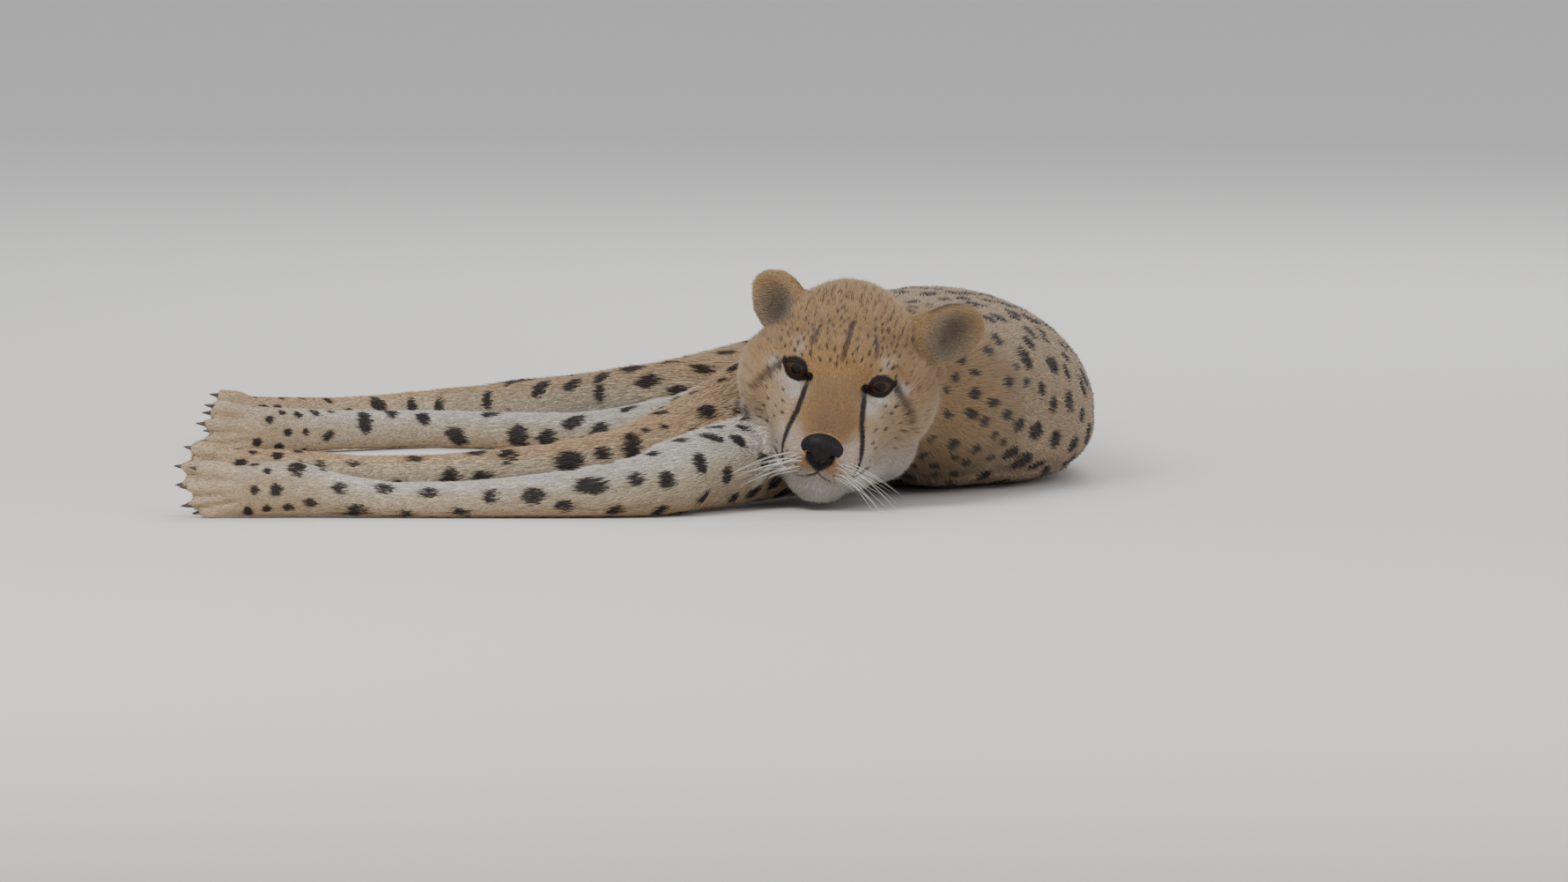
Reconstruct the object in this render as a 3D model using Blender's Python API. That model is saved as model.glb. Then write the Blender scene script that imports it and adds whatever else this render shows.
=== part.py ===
"""A life-size cheetah lying on its left side, head up, chin on the ground.

Tubes along the spine and the limbs, and balls for the muscles, are fused into smooth
bodies: one for head, neck, trunk and tail, one for each leg and one for each ear. They
are flattened where they lie on the ground, cut back where they meet, and parted by thin
cuts into the pieces that a person would name. The head looks along -Y, the legs stretch
towards -X and the back faces +X. Sizes are in metres, +Z is up.
"""

import math

import bmesh
import bpy
from mathutils import Matrix, Vector
from mathutils.bvhtree import BVHTree

# ---------------------------------------------------------------- driving sizes

VOXEL = 0.003            # grid on which the masses of the body are fused
SMOOTH_PASSES = 9        # rounds the creases between the masses
TRUNK_FACES = 1900       # triangles of neck, trunk and tail before they are parted
HEAD_FACES = 5000        # triangles that the same body would have at the head's fineness
LIMB_FACES = 500         # triangles of each leg before it is parted
EAR_FACES = 220          # triangles of each ear
GAP = 0.0004             # width of the thin cuts between the pieces
WELD = 0.000002          # corners closer than this are one corner
RING = 48                # corners of a tube's cross-section
STEPS = 5                # rings between two stations of a tube
DOME = 0.8               # length of a tube's rounded end, of its smaller radius
DOME_RINGS = (30, 55, 75, 86)                # degrees up the rounded end

HEAD_AT = Vector((0.010, 0.135, 0.1165))     # point midway between the eyes
HEAD_PITCH = math.radians(22.0)              # nose down
HEAD_ROLL = math.radians(12.0)               # the left eye is the lower one
HEAD_YAW = math.radians(2.5)                 # turned towards the legs

EYE_RADIUS = 0.0155
EYE_LATERAL = 0.0345
EYE_FORWARD = -0.0065
EYE_UP = -0.0010
EYE_CLEARANCE = 0.0003

TOE_RADIUS = 0.0095
TOE_LENGTH = 0.0220                          # half the length of a toe
TOE_TIP = 0.0120                             # half the length of its rounded end
TOE_ROW = 0.0195                             # from the middle of the paw to its outer toes
TOE_SPLAY = 0.18                             # rise of the outer toes along their length
TOE_REACH = (0.004, 0.013, 0.014, 0.006)     # how far each toe lies past the leg's end
CLAW_RADIUS = 0.0026
CLAW_LENGTH = 0.0110
CLAW_START = 0.0145                          # from the toe's middle to the claw's root
CLAW_HOOK = 0.0050
CLAW_TAPER = 0.85
CLAW_CORNERS = 6
CLAW_RINGS = 4

# Stations of the tubes: x, y, z of the centre, half-width level with the ground,
# half-height. They run from the neck to the tail and from the shoulder to the toes.
TRUNK = (
    (0.050, 0.330, 0.078, 0.070, 0.058),
    (0.070, 0.390, 0.080, 0.116, 0.076),
    (0.084, 0.470, 0.080, 0.142, 0.084),
    (0.087, 0.560, 0.080, 0.147, 0.085),
    (0.091, 0.660, 0.076, 0.138, 0.081),
    (0.100, 0.760, 0.069, 0.116, 0.073),
    (0.106, 0.850, 0.061, 0.094, 0.065),
    (0.105, 0.930, 0.058, 0.084, 0.061),
    (0.096, 1.010, 0.061, 0.088, 0.064),
    (0.087, 1.085, 0.064, 0.086, 0.066),
    (0.088, 1.150, 0.062, 0.066, 0.057),
    (0.100, 1.200, 0.056, 0.040, 0.040),
)
TRUNK_SQUARENESS = (2.0, 2.9)      # of the upper and the lower half of its sections
TRUNK_SLUMP = 0.30                 # how far its widest level has sunk, of its half-height
LIMB_SQUARENESS = (2.0, 2.0)
NECK = (
    (0.022, 0.205, 0.110, 0.050, 0.054),
    (0.037, 0.245, 0.104, 0.056, 0.062),
    (0.060, 0.300, 0.095, 0.068, 0.072),
    (0.092, 0.360, 0.083, 0.090, 0.078),
    (0.102, 0.440, 0.080, 0.112, 0.082),
)
TAIL = (
    (0.098, 1.170, 0.058, 0.036, 0.036),
    (0.112, 1.222, 0.044, 0.029, 0.028),
    (0.120, 1.280, 0.030, 0.026, 0.025),
    (0.106, 1.335, 0.023, 0.024, 0.023),
    (0.056, 1.382, 0.0205, 0.023, 0.0215),
    (-0.022, 1.388, 0.0195, 0.022, 0.0205),
    (-0.098, 1.356, 0.0190, 0.022, 0.0200),
    (-0.164, 1.304, 0.0195, 0.022, 0.0205),
    (-0.228, 1.246, 0.0205, 0.023, 0.0215),
    (-0.290, 1.190, 0.0195, 0.021, 0.0200),
    (-0.335, 1.150, 0.0175, 0.014, 0.0150),
)
LIMBS = {
    "upper_arm_right": (
        (0.020, 0.385, 0.100, 0.066, 0.050),
        (-0.014, 0.335, 0.100, 0.054, 0.043),
        (-0.060, 0.280, 0.084, 0.046, 0.035),
        (-0.108, 0.222, 0.064, 0.038, 0.029),
        (-0.156, 0.168, 0.049, 0.030, 0.025),
    ),
    "forearm_right": (
        (-0.142, 0.172, 0.049, 0.031, 0.026),
        (-0.175, 0.148, 0.044, 0.029, 0.024),
        (-0.232, 0.128, 0.039, 0.0235, 0.0190),
        (-0.310, 0.114, 0.034, 0.0185, 0.0170),
        (-0.380, 0.107, 0.033, 0.0170, 0.0165),
        (-0.420, 0.105, 0.034, 0.0180, 0.0180),
        (-0.460, 0.104, 0.035, 0.0170, 0.0200),
        (-0.498, 0.103, 0.0335, 0.0170, 0.0220),
        (-0.512, 0.102, 0.0330, 0.0140, 0.0200),
    ),
    "upper_arm_left": (
        (0.020, 0.345, 0.058, 0.066, 0.046),
        (-0.022, 0.275, 0.046, 0.050, 0.041),
        (-0.062, 0.202, 0.040, 0.042, 0.037),
        (-0.100, 0.132, 0.036, 0.037, 0.034),
        (-0.138, 0.072, 0.031, 0.031, 0.029),
    ),
    "forearm_left": (
        (-0.124, 0.080, 0.030, 0.031, 0.029),
        (-0.158, 0.058, 0.026, 0.029, 0.026),
        (-0.210, 0.048, 0.021, 0.0240, 0.0210),
        (-0.290, 0.046, 0.0165, 0.0190, 0.0165),
        (-0.360, 0.048, 0.0155, 0.0175, 0.0155),
        (-0.410, 0.050, 0.0190, 0.0185, 0.0185),
        (-0.446, 0.050, 0.0245, 0.0185, 0.0235),
        (-0.482, 0.048, 0.0240, 0.0180, 0.0235),
        (-0.506, 0.045, 0.0205, 0.0140, 0.0190),
    ),
    "thigh_right": (
        (0.078, 1.085, 0.078, 0.084, 0.050),
        (0.030, 1.045, 0.076, 0.078, 0.045),
        (-0.030, 0.985, 0.060, 0.066, 0.036),
        (-0.088, 0.930, 0.052, 0.052, 0.032),
        (-0.140, 0.892, 0.048, 0.037, 0.028),
    ),
    "shank_right": (
        (-0.124, 0.900, 0.048, 0.038, 0.028),
        (-0.168, 0.905, 0.045, 0.037, 0.027),
        (-0.224, 0.950, 0.037, 0.029, 0.023),
        (-0.285, 1.005, 0.030, 0.0190, 0.0195),
        (-0.336, 1.046, 0.0245, 0.0170, 0.0185),
        (-0.365, 1.045, 0.0220, 0.0170, 0.0185),
        (-0.415, 1.003, 0.0205, 0.0170, 0.0180),
        (-0.465, 0.962, 0.0210, 0.0170, 0.0195),
        (-0.502, 0.932, 0.0215, 0.0165, 0.0215),
        (-0.514, 0.924, 0.0215, 0.0140, 0.0195),
    ),
    "thigh_left": (
        (0.066, 1.060, 0.048, 0.080, 0.048),
        (0.020, 1.000, 0.044, 0.072, 0.044),
        (-0.030, 0.925, 0.038, 0.060, 0.039),
        (-0.070, 0.862, 0.033, 0.048, 0.034),
        (-0.108, 0.815, 0.029, 0.035, 0.029),
    ),
    "shank_left": (
        (-0.092, 0.818, 0.029, 0.035, 0.029),
        (-0.138, 0.812, 0.025, 0.033, 0.025),
        (-0.200, 0.832, 0.018, 0.027, 0.0185),
        (-0.268, 0.862, 0.0165, 0.0190, 0.0170),
        (-0.330, 0.888, 0.0165, 0.0170, 0.0170),
        (-0.360, 0.886, 0.0170, 0.0170, 0.0175),
        (-0.412, 0.853, 0.0185, 0.0165, 0.0180),
        (-0.462, 0.820, 0.0200, 0.0170, 0.0200),
        (-0.502, 0.794, 0.0215, 0.0165, 0.0225),
        (-0.514, 0.787, 0.0210, 0.0140, 0.0195),
    ),
}

# Muscle masses of the trunk and limbs: centre, radii, turn about Z in degrees.
MUSCLES = (
    ((0.082, 0.425, 0.100), (0.070, 0.088, 0.062), 20.0),     # shoulder blade, upper side
    ((0.165, 0.450, 0.068), (0.052, 0.085, 0.062), 0.0),      # withers
    ((0.060, 0.420, 0.056), (0.090, 0.080, 0.056), 0.0),      # shoulder on the ground
    ((0.014, 0.430, 0.070), (0.072, 0.105, 0.056), 0.0),      # breast
    ((0.052, 1.085, 0.084), (0.078, 0.062, 0.042), 45.0),     # buttock, upper side
    ((0.060, 1.100, 0.048), (0.078, 0.070, 0.048), 45.0),     # buttock on the ground
)

# The head's masses in its own frame: lateral, forward, up; radii; nose-up turn in
# degrees. A mass off the middle plane is made twice.
HEAD_MASSES = (
    ((0.000, -0.064, -0.004), (0.056, 0.070, 0.050), 0.0),        # braincase
    ((0.000, -0.022, 0.001), (0.046, 0.037, 0.034), 0.0),         # forehead
    ((0.030, -0.010, 0.013), (0.019, 0.015, 0.010), -10.0),       # brow
    ((0.044, -0.036, -0.030), (0.040, 0.046, 0.044), 0.0),        # cheek
    ((0.036, -0.036, -0.071), (0.038, 0.046, 0.039), 0.0),        # jowl
    ((0.031, 0.006, -0.036), (0.024, 0.029, 0.025), -15.0),       # under the eye
    ((0.000, 0.010, -0.019), (0.026, 0.036, 0.021), -24.0),       # bridge of the nose
    ((0.000, 0.040, -0.034), (0.0215, 0.030, 0.0170), -24.0),     # nose
    ((0.026, 0.020, -0.050), (0.0190, 0.030, 0.0200), 0.0),       # between cheek and lip
    ((0.000, 0.034, -0.051), (0.033, 0.036, 0.022), -8.0),        # muzzle
    ((0.0175, 0.049, -0.055), (0.0190, 0.023, 0.0180), 0.0),      # whisker pad
    ((0.000, 0.034, -0.082), (0.0290, 0.025, 0.0225), 0.0),       # chin
    ((0.020, 0.002, -0.077), (0.032, 0.046, 0.0255), 6.0),        # lower jaw
    ((0.000, -0.072, -0.050), (0.050, 0.052, 0.040), 0.0),        # throat
)
NOSE_PAD = ((0.0, 0.0640, -0.0420), (0.0185, 0.0110, 0.0145), -20.0)

# Ears: middle of the base and tip, the way the cup opens, half-width.
EARS = {
    "ear_right": ((-0.028, 0.214, 0.150), (-0.057, 0.228, 0.197), (-0.62, -0.75, 0.15), 0.0270),
    "ear_left": ((0.084, 0.214, 0.138), (0.134, 0.228, 0.155), (0.20, -0.90, -0.35), 0.0270),
}
EAR_THICKNESS = 0.0140
EAR_WALL = 0.0055
EAR_SINK = 0.0060        # how much further the shell reaches down than the cup
EAR_ROOT = (0.98, 0.018, 0.022)              # root: width of the ear's, depth, height
EAR_BACK = 0.0060        # from the middle plane of an ear to the middle of its wall

# Thin cuts: middle, normal, half-width level with the ground, half-height.
HEAD_CUT = ((0.040, 0.2420, 0.100), (0.26, 0.96, -0.06))
TRUNK_CUTS = (
    ((0.084, 0.3450, 0.090), (0.35, 0.94, 0.00), 0.2200, 0.120),      # neck from chest
    ((0.110, 0.6900, 0.080), (0.00, 1.00, 0.00), 0.1900, 0.120),      # chest from belly
    ((0.110, 0.9350, 0.080), (0.25, 0.97, 0.00), 0.1900, 0.120),      # belly from hips
    ((0.106, 1.2020, 0.050), (0.25, 0.94, -0.22), 0.0700, 0.070),     # tail from hips
    ((0.016, 1.3870, 0.020), (-1.00, 0.05, 0.00), 0.0450, 0.045),     # middle of the tail
    ((-0.146, 1.3200, 0.020), (-0.77, -0.64, 0.00), 0.0450, 0.045),   # end of the tail
)
LIMB_CUTS = {
    "arm_right": (
        ((-0.150, 0.1640, 0.050), (-0.90, -0.40, 0.00), 0.0700, 0.060),
        ((-0.412, 0.1050, 0.042), (-1.00, -0.03, 0.00), 0.0400, 0.040),
    ),
    "arm_left": (
        ((-0.130, 0.0760, 0.032), (-0.85, -0.50, 0.00), 0.0700, 0.060),
        ((-0.408, 0.0500, 0.022), (-1.00, -0.06, 0.00), 0.0400, 0.040),
    ),
    "leg_right": (
        ((-0.134, 0.8970, 0.050), (-0.98, -0.05, 0.00), 0.0700, 0.060),
        ((-0.346, 1.0470, 0.028), (-0.98, 0.15, 0.00), 0.0400, 0.040),
    ),
    "leg_left": (
        ((-0.106, 0.8170, 0.031), (-0.94, -0.34, 0.00), 0.0700, 0.060),
        ((-0.342, 0.8880, 0.019), (-0.98, 0.10, 0.00), 0.0400, 0.040),
    ),
}
# Each leg's two tubes, from the body outwards, and the legs that lie under it.
LEGS = {
    "arm_left": ("upper_arm_left", "forearm_left", ()),
    "arm_right": ("upper_arm_right", "forearm_right", ("arm_left",)),
    "leg_left": ("thigh_left", "shank_left", ()),
    "leg_right": ("thigh_right", "shank_right", ("leg_left",)),
}

# Every node of flesh: a point inside it, and its coat's colour.
TAN = (0.62, 0.43, 0.22)
CREAM = (0.74, 0.66, 0.52)
NODES = {
    "head": ((0.020, 0.190, 0.120), TAN),
    "neck": ((0.050, 0.272, 0.100), TAN),
    "chest": ((0.085, 0.520, 0.085), TAN),
    "belly": ((0.100, 0.830, 0.065), CREAM),
    "hips": ((0.080, 1.060, 0.065), TAN),
    "tail_root": ((0.112, 1.318, 0.024), TAN),
    "tail_middle": ((-0.074, 1.367, 0.019), TAN),
    "tail_end": ((-0.208, 1.264, 0.020), CREAM),
    "upper_arm_right": ((-0.104, 0.222, 0.076), CREAM),
    "upper_arm_left": ((-0.090, 0.166, 0.036), TAN),
    "forearm_right": ((-0.300, 0.116, 0.046), CREAM),
    "forearm_left": ((-0.300, 0.060, 0.023), CREAM),
    "forepaw_right": ((-0.462, 0.103, 0.036), CREAM),
    "forepaw_left": ((-0.470, 0.050, 0.023), CREAM),
    "thigh_right": ((-0.088, 0.925, 0.068), CREAM),
    "thigh_left": ((-0.068, 0.850, 0.030), CREAM),
    "shank_right": ((-0.240, 0.965, 0.040), TAN),
    "shank_left": ((-0.220, 0.842, 0.022), CREAM),
    "hind_foot_right": ((-0.440, 0.982, 0.022), TAN),
    "hind_foot_left": ((-0.440, 0.835, 0.020), CREAM),
}
PAWS = {
    "forepaw_right": "forearm_right",
    "forepaw_left": "forearm_left",
    "hind_foot_right": "shank_right",
    "hind_foot_left": "shank_left",
}
NOSE_COLOUR = (0.030, 0.026, 0.026)
EYE_COLOUR = (0.16, 0.065, 0.020)


# ---------------------------------------------------------------- scene and meshes

def clear_scene():
    """Remove what the scene holds."""
    for old in list(bpy.data.objects):
        bpy.data.objects.remove(old, do_unlink=True)


def add_object(name, bm):
    """Put a bmesh into the scene as a named object and free it."""
    mesh = bpy.data.meshes.new(name)
    bm.to_mesh(mesh)
    bm.free()
    obj = bpy.data.objects.new(name, mesh)
    bpy.context.scene.collection.objects.link(obj)
    return obj


def settle(obj):
    """Replace an object's mesh by what its modifiers make of it."""
    graph = bpy.context.evaluated_depsgraph_get()
    graph.update()
    mesh = bpy.data.meshes.new_from_object(obj.evaluated_get(graph))
    obj.modifiers.clear()
    old = obj.data
    obj.data = mesh
    bpy.data.meshes.remove(old)


def boolean(obj, cutter, operation):
    """Cut obj by cutter, or join them, and remove the cutter."""
    modifier = obj.modifiers.new("cut", "BOOLEAN")
    modifier.operation = operation
    modifier.solver = "EXACT"
    modifier.object = cutter
    settle(obj)
    bpy.data.objects.remove(cutter, do_unlink=True)


def dress(obj, colour, roughness):
    """Give an object its own material."""
    material = bpy.data.materials.new(obj.name + "_finish")
    material.use_nodes = True
    shader = material.node_tree.nodes["Principled BSDF"]
    shader.inputs["Base Color"].default_value = (*colour, 1.0)
    shader.inputs["Roughness"].default_value = roughness
    shader.inputs["Metallic"].default_value = 0.0
    obj.data.materials.clear()
    obj.data.materials.append(material)


# ---------------------------------------------------------------- shapes

def smooth_stations(stations):
    """Points of a Catmull-Rom curve through the stations, radii included."""
    keys = [Vector(s) for s in stations]
    keys = [2 * keys[0] - keys[1]] + keys + [2 * keys[-1] - keys[-2]]
    rows = []
    for i in range(1, len(keys) - 2):
        a, b, c, d = keys[i - 1:i + 3]
        for k in range(STEPS):
            t = k / STEPS
            rows.append(0.5 * (2 * b + (c - a) * t + (2 * a - 5 * b + 4 * c - d) * t * t
                               + (3 * b - a - 3 * c + d) * t ** 3))
    rows.append(keys[-2])
    return rows


def round_ends(rows):
    """Add shrinking rings so that a tube ends in a dome, and not in a flat."""
    def dome(end, inner):
        away = Vector((end - inner)[:3]).normalized()
        reach = DOME * min(end[3], end[4])
        rings = []
        for angle in DOME_RINGS:
            t = math.radians(angle)
            centre = Vector(end[:3]) + away * reach * math.sin(t)
            rings.append(Vector((*centre, end[3] * math.cos(t), end[4] * math.cos(t))))
        return rings
    return list(reversed(dome(rows[0], rows[1]))) + rows + dome(rows[-1], rows[-2])


def superellipse(angle, squareness):
    """Point of a rounded square of half-size one; a squareness of 2 is a circle."""
    across, rise = math.cos(angle), math.sin(angle)
    power = 2.0 / squareness[0 if rise > 0 else 1]
    return (math.copysign(abs(across) ** power, across),
            math.copysign(abs(rise) ** power, rise))


def add_tube(bm, stations, squareness=LIMB_SQUARENESS, slump=0.0):
    """Loft rings along the stations, closed at both ends."""
    rows = round_ends(smooth_stations(stations))
    rings = []
    for i, row in enumerate(rows):
        ahead = rows[min(i + 1, len(rows) - 1)]
        behind = rows[max(i - 1, 0)]
        along = Vector((ahead - behind)[:3]).normalized()
        level = along.cross(Vector((0, 0, 1))).normalized()
        rise = level.cross(along)
        ring = []
        for k in range(RING):
            u, v = superellipse(2 * math.pi * (k + 0.5) / RING, squareness)
            height = row[4] * (v * (1.0 + math.copysign(slump, v)) - slump)
            offset = level * row[3] * u + rise * height
            ring.append(bm.verts.new(Vector(row[:3]) + offset))
        rings.append(ring)
    for first, second in zip(rings, rings[1:]):
        for k in range(RING):
            n = (k + 1) % RING
            bm.faces.new((first[k], first[n], second[n], second[k]))
    bm.faces.new(reversed(rings[0]))
    bm.faces.new(rings[-1])


def add_ball(bm, centre, radii, turn, frame=None, fineness=4):
    """Add an ellipsoid; turn is a rotation matrix applied about its centre."""
    matrix = Matrix.Translation(centre) @ turn @ Matrix.Diagonal((*radii, 1.0))
    if frame is not None:
        matrix = frame @ matrix
    ball = bmesh.ops.create_icosphere(bm, subdivisions=fineness, radius=1.0, matrix=matrix)
    if matrix.determinant() < 0:
        faces = {face for vertex in ball["verts"] for face in vertex.link_faces}
        bmesh.ops.reverse_faces(bm, faces=list(faces))


def head_frame():
    """Matrix from the head's own frame (lateral, forward, up) to the world."""
    turn = (Matrix.Rotation(-HEAD_YAW, 3, "Z")
            @ Matrix.Rotation(HEAD_ROLL, 3, "Y")
            @ Matrix.Rotation(HEAD_PITCH, 3, "X"))
    axes = Matrix(((1, 0, 0), (0, -1, 0), (0, 0, 1)))
    return Matrix.Translation(HEAD_AT) @ (turn @ axes).to_4x4()


def pitch(degrees):
    """Turn that lifts the forward end of a mass of the head."""
    return Matrix.Rotation(math.radians(degrees), 4, "X")


def add_head(bm, frame):
    """Add the masses of the head."""
    for centre, radii, degrees in HEAD_MASSES:
        for side in (1, -1) if centre[0] else (1,):
            place = (side * centre[0], centre[1], centre[2])
            add_ball(bm, place, radii, pitch(degrees), frame)


def ear_matrix(base, tip, facing):
    """Frame of an ear: X across it, Y out of the back of the cup, Z to the tip."""
    rise = (Vector(tip) - Vector(base)).normalized()
    back = -Vector(facing)
    back = (back - rise * back.dot(rise)).normalized()
    across = back.cross(rise)
    matrix = Matrix((across, back, rise)).transposed().to_4x4()
    return Matrix.Translation((Vector(tip) + Vector(base)) / 2) @ matrix


def fuse_ear(name, head):
    """A rounded ear as a cup with a thick wall, cut back where it meets the head."""
    base, tip, facing, half_width = EARS[name]
    matrix = ear_matrix(base, tip, facing)
    half_length = (Vector(tip) - Vector(base)).length / 2
    no_turn = Matrix.Identity(4)
    shell = bmesh.new()
    radii = (half_width, EAR_THICKNESS, half_length + EAR_SINK)
    add_ball(shell, (0, 0, -EAR_SINK), radii, no_turn, matrix)
    ear = add_object("shell", shell)
    hollow = bmesh.new()
    inner = (half_width - EAR_WALL, EAR_THICKNESS, half_length)
    add_ball(hollow, (0, -EAR_THICKNESS, 0), inner, no_turn, matrix)
    boolean(ear, add_object("hollow", hollow), "DIFFERENCE")
    bm = bmesh.new()
    bm.from_mesh(ear.data)
    bpy.data.objects.remove(ear, do_unlink=True)
    share, depth, height = EAR_ROOT
    add_ball(bm, (0, 0, -half_length), (half_width * share, depth, height), no_turn, matrix)
    ear = fuse(name + "_whole", bm)
    thin_out(ear, EAR_FACES)
    carve(ear, head)
    return ear


def make_nose(frame):
    """The bare pad of the nose."""
    bm = bmesh.new()
    centre, radii, degrees = NOSE_PAD
    add_ball(bm, centre, radii, pitch(degrees), frame, fineness=2)
    return add_object("nose", bm)


def toe_frames(limb):
    """Middle and heading of the four toes at the end of a leg."""
    last = Vector(LIMBS[limb][-1][:3])
    before = Vector(LIMBS[limb][-3][:3])
    ahead = (last - before).normalized()
    toes = []
    for k, reach in enumerate(TOE_REACH):
        spread = (k - 1.5) / 1.5
        heading = (ahead + Vector((0, 0, TOE_SPLAY * spread))).normalized()
        middle = last + Vector((0, 0, TOE_ROW * spread)) + ahead * reach
        middle.z = max(middle.z, TOE_RADIUS)
        toes.append((middle, heading))
    return toes


def add_paw(bm, limb):
    """Four toes, each with a rounded end."""
    for middle, heading in toe_frames(limb):
        turn = heading.to_track_quat("X", "Z").to_matrix().to_4x4()
        add_ball(bm, middle, (TOE_LENGTH, TOE_RADIUS, TOE_RADIUS), turn)
        add_ball(bm, middle + heading * TOE_TIP, (TOE_TIP, TOE_RADIUS, TOE_RADIUS), turn)


def make_claw(middle, heading):
    """A short curved claw, pointing down the toe."""
    bm = bmesh.new()
    rings = []
    side = heading.cross(Vector((0, 0, 1))).normalized()
    up = side.cross(heading)
    hook = side * (CLAW_HOOK if side.y > 0 else -CLAW_HOOK)
    for k in range(CLAW_RINGS):
        t = k / (CLAW_RINGS - 1)
        centre = middle + heading * (CLAW_START + CLAW_LENGTH * t) + hook * t * t
        radius = CLAW_RADIUS * (1 - CLAW_TAPER * t)
        ring = []
        for c in range(CLAW_CORNERS):
            a = 2 * math.pi * c / CLAW_CORNERS
            ring.append(bm.verts.new(centre + (side * math.cos(a) + up * math.sin(a)) * radius))
        rings.append(ring)
    for first, second in zip(rings, rings[1:]):
        for c in range(CLAW_CORNERS):
            n = (c + 1) % CLAW_CORNERS
            bm.faces.new((first[c], first[n], second[n], second[c]))
    bm.faces.new(rings[0])
    bm.faces.new(rings[-1])
    bmesh.ops.recalc_face_normals(bm, faces=bm.faces[:])
    return add_object("claw", bm)


# ---------------------------------------------------------------- the body

def fuse(name, bm):
    """Fuse overlapping masses into one smooth skin."""
    body = add_object(name, bm)
    remesh = body.modifiers.new("fuse", "REMESH")
    remesh.mode = "VOXEL"
    remesh.voxel_size = VOXEL
    smooth = body.modifiers.new("smooth", "SMOOTH")
    smooth.factor = 0.5
    smooth.iterations = SMOOTH_PASSES
    settle(body)
    return body


def fuse_trunk():
    """Head, neck, trunk and tail."""
    bm = bmesh.new()
    add_tube(bm, TRUNK, TRUNK_SQUARENESS, TRUNK_SLUMP)
    add_tube(bm, NECK)
    add_tube(bm, TAIL)
    for centre, radii, degrees in MUSCLES:
        turn = Matrix.Rotation(math.radians(degrees), 4, "Z")
        add_ball(bm, centre, radii, turn)
    add_head(bm, head_frame())
    return fuse("trunk", bm)


def fuse_leg(name):
    """A leg from the body to its toes."""
    upper, lower, _ = LEGS[name]
    bm = bmesh.new()
    add_tube(bm, LIMBS[upper])
    add_tube(bm, LIMBS[lower])
    add_paw(bm, lower)
    return fuse(name, bm)


def thin_out(body, faces):
    """Reduce a body to large triangles, and flatten it where it lies on the ground."""
    decimate = body.modifiers.new("thin", "DECIMATE")
    decimate.ratio = faces / (2 * len(body.data.polygons))
    settle(body)
    bm = bmesh.new()
    block = Matrix.Translation((0, 0.7, -0.5)) @ Matrix.Diagonal((3.0, 3.0, 1.0, 1.0))
    bmesh.ops.create_cube(bm, size=1.0, matrix=block)
    boolean(body, add_object("ground", bm), "DIFFERENCE")


def duplicate(obj, name):
    """A second object with its own copy of the mesh."""
    copy = bpy.data.objects.new(name, obj.data.copy())
    bpy.context.scene.collection.objects.link(copy)
    return copy


def cut_away(body, middle, normal):
    """Remove what lies on the far side of a plane."""
    bm = bmesh.new()
    reach = 2.0
    turn = Vector(normal).to_track_quat("Y", "Z").to_matrix().to_4x4()
    offset = Matrix.Translation((0, reach - GAP / 2, 0))
    matrix = Matrix.Translation(middle) @ turn @ offset
    bmesh.ops.create_cube(bm, size=2 * reach, matrix=matrix)
    boolean(body, add_object("half", bm), "DIFFERENCE")


def carve(body, other):
    """Cut a body back from another one, by the width of a thin cut."""
    cutter = duplicate(other, "cutter")
    for vertex in cutter.data.vertices:
        vertex.co += vertex.normal * GAP
    boolean(body, cutter, "DIFFERENCE")


def slab(middle, normal, half_width, half_height):
    """A thin upright plate that cuts through a body."""
    bm = bmesh.new()
    normal = Vector(normal).normalized()
    level = normal.cross(Vector((0, 0, 1))).normalized()
    rise = level.cross(normal)
    axes = Matrix((level, normal, rise)).transposed().to_4x4()
    size = Matrix.Diagonal((2 * half_width, GAP, 2 * half_height, 1.0))
    bmesh.ops.create_cube(bm, size=1.0, matrix=Matrix.Translation(middle) @ axes @ size)
    return add_object("plate", bm)


def open_sockets(head, frame):
    """Hollow the head where the eyeballs sit."""
    for side in (1, -1):
        bm = bmesh.new()
        place = frame @ Vector((side * EYE_LATERAL, EYE_FORWARD, EYE_UP))
        bmesh.ops.create_icosphere(bm, subdivisions=2, radius=EYE_RADIUS + EYE_CLEARANCE,
                                   matrix=Matrix.Translation(place))
        boolean(head, add_object("socket", bm), "DIFFERENCE")


def loose_parts(body):
    """Split a mesh into its separate closed bodies, as bmeshes."""
    bm = bmesh.new()
    bm.from_mesh(body.data)
    bmesh.ops.remove_doubles(bm, verts=bm.verts[:], dist=WELD)
    bmesh.ops.dissolve_degenerate(bm, edges=bm.edges[:], dist=WELD)
    bm.verts.index_update()
    unseen = set(bm.verts)
    pieces = []
    while unseen:
        queue = [unseen.pop()]
        island = {queue[0].index}
        while queue:
            for edge in queue.pop().link_edges:
                for other in edge.verts:
                    if other in unseen:
                        unseen.discard(other)
                        island.add(other.index)
                        queue.append(other)
        piece = bm.copy()
        piece.verts.index_update()
        rest = [vertex for vertex in piece.verts if vertex.index not in island]
        bmesh.ops.delete(piece, geom=rest, context="VERTS")
        pieces.append(piece)
    bm.free()
    return pieces


def holds(tree, point):
    """Whether a closed surface holds a point, by counting crossings along a line."""
    away = Vector((0.013, 0.021, 1.0)).normalized()
    past = away * 10 * WELD
    count = 0
    hit = tree.ray_cast(point, away)
    while hit[0] is not None:
        count += 1
        hit = tree.ray_cast(hit[0] + past, away)
    return count % 2 == 1


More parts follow.
